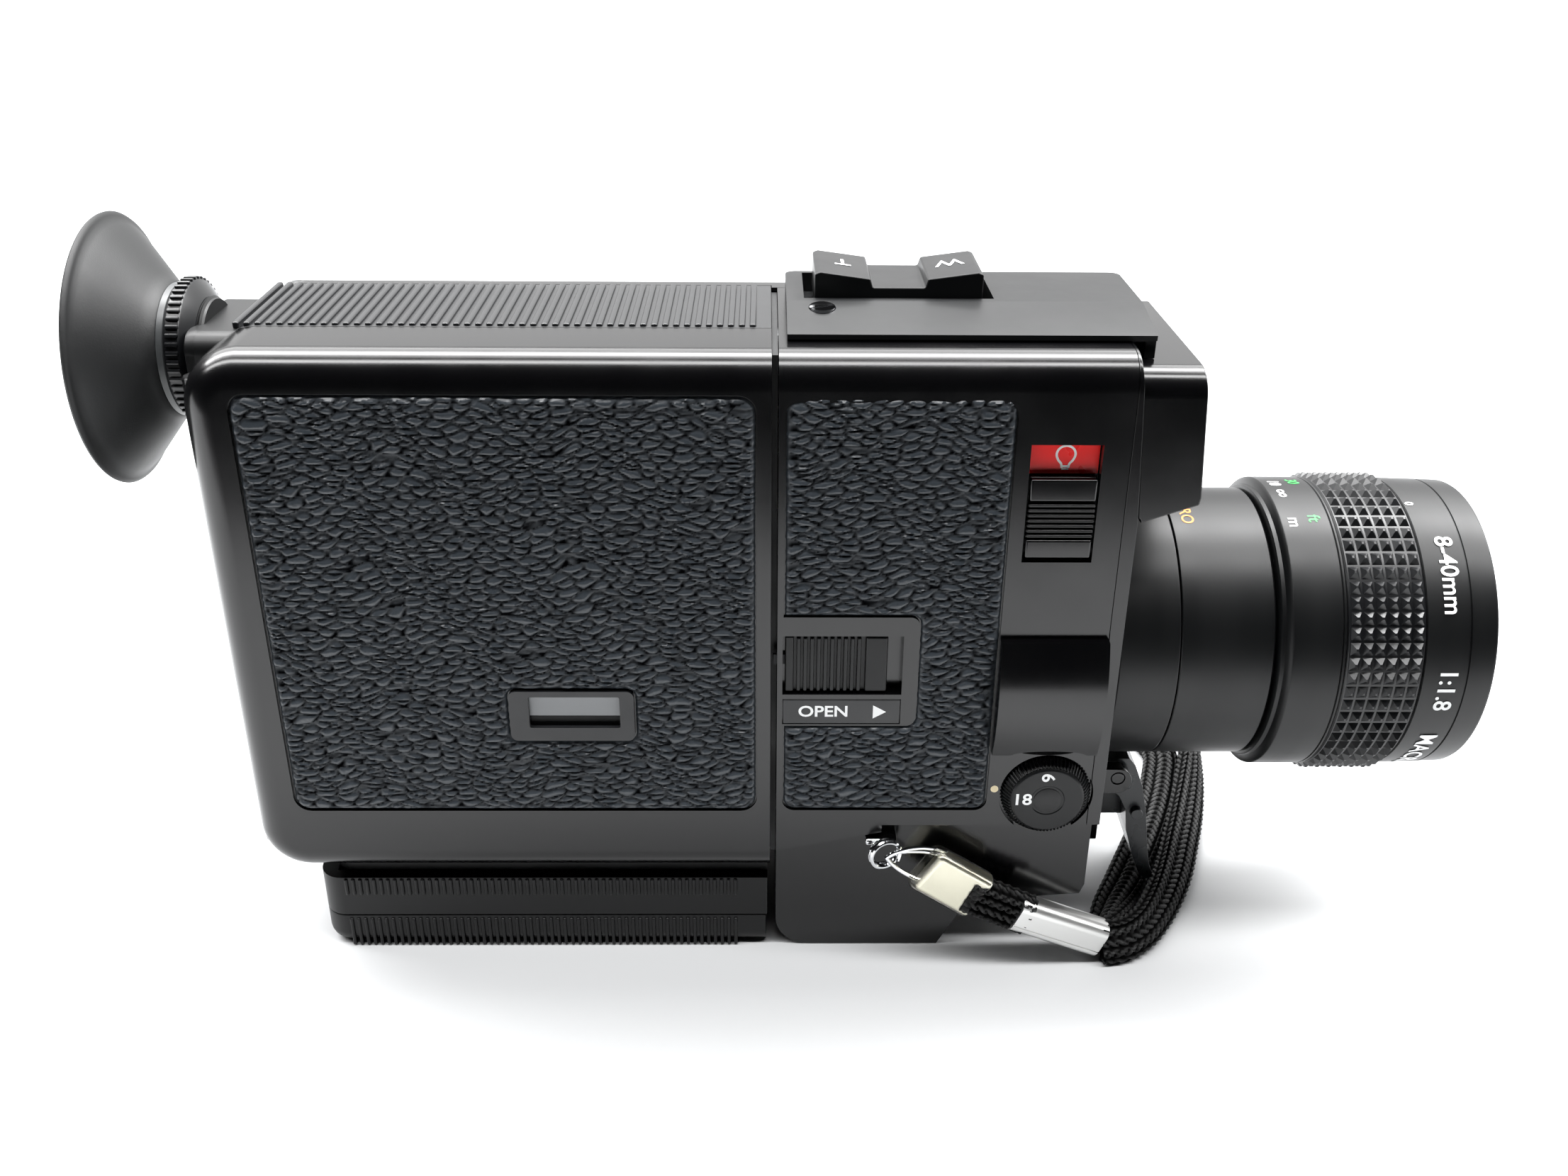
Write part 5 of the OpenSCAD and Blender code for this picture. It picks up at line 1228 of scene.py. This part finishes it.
# %% Flange and zoom ring
lens_flange = merged("lens_flange", "lens_flange_turned")
soften(lens_flange, 0.3, 2, 40)
finish_piece(lens_flange, "body", ANODISED, ["lens_flange"])
Z1 = high("zoom_ring").x / MM
ZR = high("zoom_ring").y / MM
Z0 = high("lens_flange").x / MM + 0.12
zoom = turned("zoom_ring_turned", [(Z0, 17.0), (Z0, ZR - 0.12), (Z0 + 0.12, ZR), (Z1 - 0.3, ZR),
                                   (Z1, ZR - 0.3),
                                   (Z1, 15.1), (Z0 + 1, 15.1), (Z0 + 1, 17.0), (Z0, 17.0)],
              AXIS, "+X", 128)
gear = merged("zoom_ring", "zoom_gear_part")
edit(gear)
bpy.ops.mesh.bisect(plane_co=((Z0 + 1.0) * MM, 0, 0), plane_no=(1, 0, 0), use_fill=True, clear_outer=True)
leave()
zoom = join("zoom_ring_turned", zoom, gear)
finish_piece(zoom, "zoom", ANODISED, ["zoom_ring"])

# %% [markdown]
# The focus ring steps up from the barrel in a short curved shoulder, carries the distance scale on a
# smooth band and then gets thinner under the grip.

# %% Focus ring with its scale
G0, G1 = low("focus_grip").x / MM, high("focus_grip").x / MM
Q0, QR = low("focus_ring").x / MM, high("focus_ring").y / MM
focus = turned("focus_ring_turned", [
    (Q0, 15.1), (Q0, QR - 1.9), (Q0 + 0.35, QR - 1.35), (Q0 + 0.9, QR - 1.2), (Q0 + 1.2, QR - 0.5),
    (Q0 + 1.6, QR - 0.05), (Q0 + 1.8, QR), (G0 - 0.75, QR), (G0 - 0.6, QR - 0.2), (G0 - 0.45, QR),
    (G0 - 0.2, QR), (G0, QR - 0.2), (G0, QR - 2.2), (G1, QR - 2.2), (G1, 19.1), (G0 + 5.3, 19.1),
    (G0 + 5.3, 15.1), (Q0, 15.1)], AXIS, "+X", 128)
finish_piece(focus, "focus", ANODISED, ["focus_ring"])

# %% [markdown]
# The grip is cut with two sets of grooves, which leave small four-sided pyramids: six across and
# sixty-four round. One pyramid is modelled, an array makes the row of six, and the row is spun.

# %% Pyramid knurl
grip = turned("knurl_core", [(G0 + 0.05, QR - 2.1), (G0 + 0.05, QR - 0.25), (G0 + 0.3, QR),
                             (G1 - 0.25, QR), (G1, QR - 0.2), (G1, QR - 2.1), (G0 + 0.05, QR - 2.1)],
              AXIS, "+X", 128)
pitch_x, count_round = (G1 - G0 - 0.5) / 6, 64
half_round = math.pi * (QR + 0.1) / count_round
bpy.ops.mesh.primitive_cone_add(vertices=4, radius1=math.sqrt(2) * MM, radius2=0.16 * math.sqrt(2) * MM,
                                depth=0.95 * MM)
pyramid = settle(bpy.context.object)
pyramid.data.transform(Matrix.Rotation(math.pi / 4, 4, "Z"))
pyramid.data.transform(Matrix.Diagonal((pitch_x / 2 * 0.97, half_round * 0.97, 1, 1)))
pyramid.data.transform(Matrix.Translation(AXIS + Vector((G0 + 0.3 + pitch_x / 2, 0, QR + 0.30)) * MM))
modify(pyramid, "ARRAY", count=6, use_relative_offset=False, use_constant_offset=True,
       constant_offset_displace=(pitch_x * MM, 0, 0))
spun(pyramid, count_round, AXIS, (1, 0, 0))
grip = join("focus_grip_pyramids", grip, pyramid)
finish_piece(grip, "focus", KNURLED, ["focus_grip"], angle=20)

# %% [markdown]
# The front ring is hollow and has eight turns of filter thread inside. They are drawn as rings,
# which no one can tell from a helix at this pitch.

# %% Front ring, filter thread and front lens
N0, N1 = low("front_ring").x / MM, high("front_ring").x / MM
NR, thread = high("front_ring").y / MM, 21.1
turns = []
for i in range(8):
    turns += [(N1 - 0.6 - 0.5 * i, thread), (N1 - 0.85 - 0.5 * i, thread + 0.28)]
front_ring = turned("front_ring_turned", [
    (N0, 18.1), (N0, NR - 0.4), (N0 + 0.3, NR), (N1 - 4.55, NR - 0.15), (N1 - 4.45, NR - 0.35),
    (N1 - 4.3, NR - 0.35), (N1 - 4.2, NR - 0.17), (N1 - 0.55, NR - 0.3), (N1 - 0.15, NR - 0.5),
    (N1, NR - 0.85), (N1, thread + 0.5),
    (N1 - 0.35, thread + 0.1)] + turns + [(N1 - 4.7, 20.4), (N1 - 5.2, 20.0), (N1 - 5.2, 18.1), (N0, 18.1)],
    AXIS, "+X", 128)
finish_piece(front_ring, "focus", ANODISED, ["front_ring"])

# %% [markdown]
# Each line of lettering has its text, size, boldness, place along the axis, radius and angle.

# %% Lens lettering
marks = [("spec_range", "8-40mm", 2.8, 0.05, 87.1, NR + 0.02, 45, WHITE, "focus"),
         ("spec_speed", "1:1.8", 2.8, 0.05, 87.1, NR + 0.02, 89.5, WHITE, "focus"),
         ("spec_macro", "MACRO", 2.8, 0.05, 87.1, NR + 0.02, 128, WHITE, "focus"),
         ("zero_mark", "0", 1.3, 0.04, N0 + 1.15, NR, 12, WHITE, "focus"),
         ("metres", "m", 2.0, 0.03, 65.0, QR, 23, WHITE, "focus"),
         ("feet", "ft", 2.0, 0.03, 68.2, QR, 21, GREEN, "focus"),
         ("scale_ten", "10", 1.9, 0.03, 65.0, QR, -5, WHITE, "focus"),
         ("scale_far", "∞", 2.1, 0.03, 65.0, QR, 5, WHITE, "focus"),
         ("scale_feet", "30", 1.9, 0.03, 68.2, QR, -7, GREEN, "focus"),
         ("macro_word", "MACRO", 2.0, 0.03, 49.2, ZR, 6.8, ORANGE, "zoom")]
for name, text, size, bold, x, radius, angle, ink, body in marks:
    sign = wrap(letters(name, text, size, bold), x, radius + 0.02, angle)
    finish_piece(sign, body, ink, angle=0)

# %% [markdown]
# ## The eyepiece
# A knurled dioptre ring, a smooth grey collar and the wide rubber cup. The cup's wall is thin and its
# rim is rolled, and it flares from a short neck.

# %% Rubber cup
CUP_BACK = Vector((high("eyecup").x, 0, EYE.z))
cup = turned("eyecup_rubber", [
    (1.0, 7.25), (1.0, 9.7), (1.25, 10.1), (1.9, 10.5), (2.9, 11.6), (4.2, 13.2), (5.8, 15.2), (7.4, 17.2),
    (8.5, 18.5), (9.1, 19.1), (9.3, 19.6), (9.45, 20.0), (9.8, 20.25), (10.1, 20.15), (10.25, 19.8),
    (10.2, 19.3), (9.8, 18.7), (8.9, 17.7), (7.4, 15.8), (5.8, 13.6), (4.4, 11.9), (3.3, 10.3), (2.7, 9.6),
    (2.6, 7.25), (1.0, 7.25)],
    CUP_BACK, "-X", 128)
finish_piece(cup, "dioptre", RUBBER, ["eyecup"], angle=50)

# %% [markdown]
# Behind the cup sit a thin grey collar and the knurled dioptre ring. One tooth is modelled and spun.

# %% Dioptre ring and its collar
collar = turned("dioptre_collar", [(0.0, 8.0), (0.0, 9.7), (0.2, 9.95), (1.1, 9.95), (1.1, 8.0),
                                   (0.0, 8.0)],
                CUP_BACK, "-X", 96)
COLLAR_GREY = finish("grey_collar", "#3f4142", 0.4, grain=0.3, height=0.004)
finish_piece(collar, "dioptre", COLLAR_GREY)
RING_FRONT = Vector((high("dioptre_ring").x, 0, EYE.z))
ring_x = RING_FRONT.x / MM
ring = turned("dioptre_ring_turned", [
    (-1.4, 7.75), (-1.4, 8.2), (0.0, 10.3), (0.2, 10.45), (1.9, 10.45), (2.4, 10.1), (2.4, 7.3), (4.9, 7.3),
    (4.9, 5.5), (1.9, 5.5), (1.9, 7.75), (-1.4, 7.75)], RING_FRONT, "-X", 96)
tooth = box("tooth", (ring_x - 2.0, -0.3, 10.2), (ring_x - 0.1, 0.3, 10.85), 0.18,
            lambda m, d: m.z > 10.5 * MM, 2)
tooth.data.transform(Matrix.Translation(EYE))
spun(tooth, 52, EYE, (1, 0, 0))
ring = join("dioptre_ring_turned", ring, tooth)
finish_piece(ring, "dioptre", KNURLED, ["dioptre_ring"])
lens = turned("eyepiece_lens", [(3.2, 5.55), (4.4, 5.55), (4.75, 4.0), (4.95, 2.0), (5.0, 0.1)],
              RING_FRONT, "-X", 64)
finish_piece(lens, "dioptre", COATED)
threads = [(0.15, 7.55)]
for i in range(4):
    threads += [(0.3 + 0.5 * i, 8.0), (0.55 + 0.5 * i, 7.65)]
threads = turned("eyepiece_threads", threads + [(2.4, 7.55)], RING_FRONT, "+X", 96)
finish_piece(threads, "body", ANODISED)

# %% [markdown]
# ## What is inside
# The mechanism behind the door and the covers keeps the frame's own shapes. Each node gets the metal,
# plastic or glass that it is made of.

# %% Finishes for the frame's own nodes
INSIDE = {
    "cast_metal": CAST, "steel": STEEL, "brass": BRASS, "nylon": NYLON, "cell_jacket": JACKET,
    "circuit_board": BOARD, "glass": GLASS, "coated_glass": COATED, "blackened_steel": BLUED,
    "aluminium": BARE, "chrome": CHROME, "black_plastic": ABS}
slots = {entry["node"]: entry["material_slot"] for entry in frame["record"]["subparts"]}
kept = [name for name, node in frame["nodes"].items() if not node.hide_render]
for name in kept:
    node = frame["nodes"][name]
    node.data.materials.clear()
    node.data.materials.append(INSIDE[slots[name]])
    only(node)
print(len(kept), "nodes keep their own shape:", ", ".join(sorted(kept)))
bpy.ops.object.select_all(action="DESELECT")

# %% [markdown]
# ## Table and light
# A white table runs far behind the camera. Two long strip lights hang over it, parallel to the lens,
# and draw the pair of bright lines along the rounded top edge. A wide soft light fills the rest.

# %% Table
bpy.ops.mesh.primitive_plane_add(size=1, location=(0, 3.8, -0.05 * MM), scale=(1, 1, 1))
table = bpy.context.object
table.name = "white_table"
table.scale = (12, 8, 1)
settle(table)
table_finish = finish("white_paper", "#b6b7b8", 0.9, grain=2.0, height=0.0)
table.data.materials.append(table_finish)


# %% [markdown]
# The strips are narrow across the camera and long along it. The ceiling and the back wall are what
# the flat top mirrors at this angle, so they set how grey it looks.

# %% Lights
def area_light(name, at, size_x, size_y, radiance, aim):
    """A soft box of a size in metres and a brightness, aimed at a point."""
    data = bpy.data.lights.new(name, "AREA")
    data.shape, data.size, data.size_y = "RECTANGLE", size_x, size_y
    data.energy = radiance * math.pi * size_x * size_y
    lamp = bpy.data.objects.new(name, data)
    bpy.context.collection.objects.link(lamp)
    lamp.location = at
    toward = Vector(aim) - Vector(at)
    lamp.rotation_euler = toward.to_track_quat("-Z", "Y").to_euler()
    return lamp


area_light("strip_over", (0, 0.5, 1.35), 4.0, 0.34, 20, (0, 0.02, 0))
area_light("strip_front", (0, -0.26, 1.3), 4.0, 0.22, 20, (0, -0.02, 0.1))
area_light("ceiling", (0, 0.95, 1.6), 5.0, 1.7, 6, (0, 0.6, 0))
area_light("back_wall", (0, 2.6, 1.1), 7.0, 2.4, 1.5, (0, 0, 0.4))
world = bpy.data.worlds.new("studio")
world.use_nodes = True
sky = world.node_tree
# The room is almost dark, so that only the soft boxes are mirrored, but it is seen as white.
seen = add(sky, "LightPath")
glow = add(sky, "MapRange", Value=seen.outputs["Is Camera Ray"], To_Min=0.012, To_Max=1.0)
sky.links.new(glow.outputs[0], sky.nodes["Background"].inputs["Strength"])
sky.nodes["Background"].inputs["Color"].default_value = colour("#f2f5fa")
bpy.context.scene.world = world
bpy.context.scene.view_settings.view_transform = "Standard"
bpy.context.scene.view_settings.look = "None"

# %% Count the pieces
print(len(made), "pieces modelled")
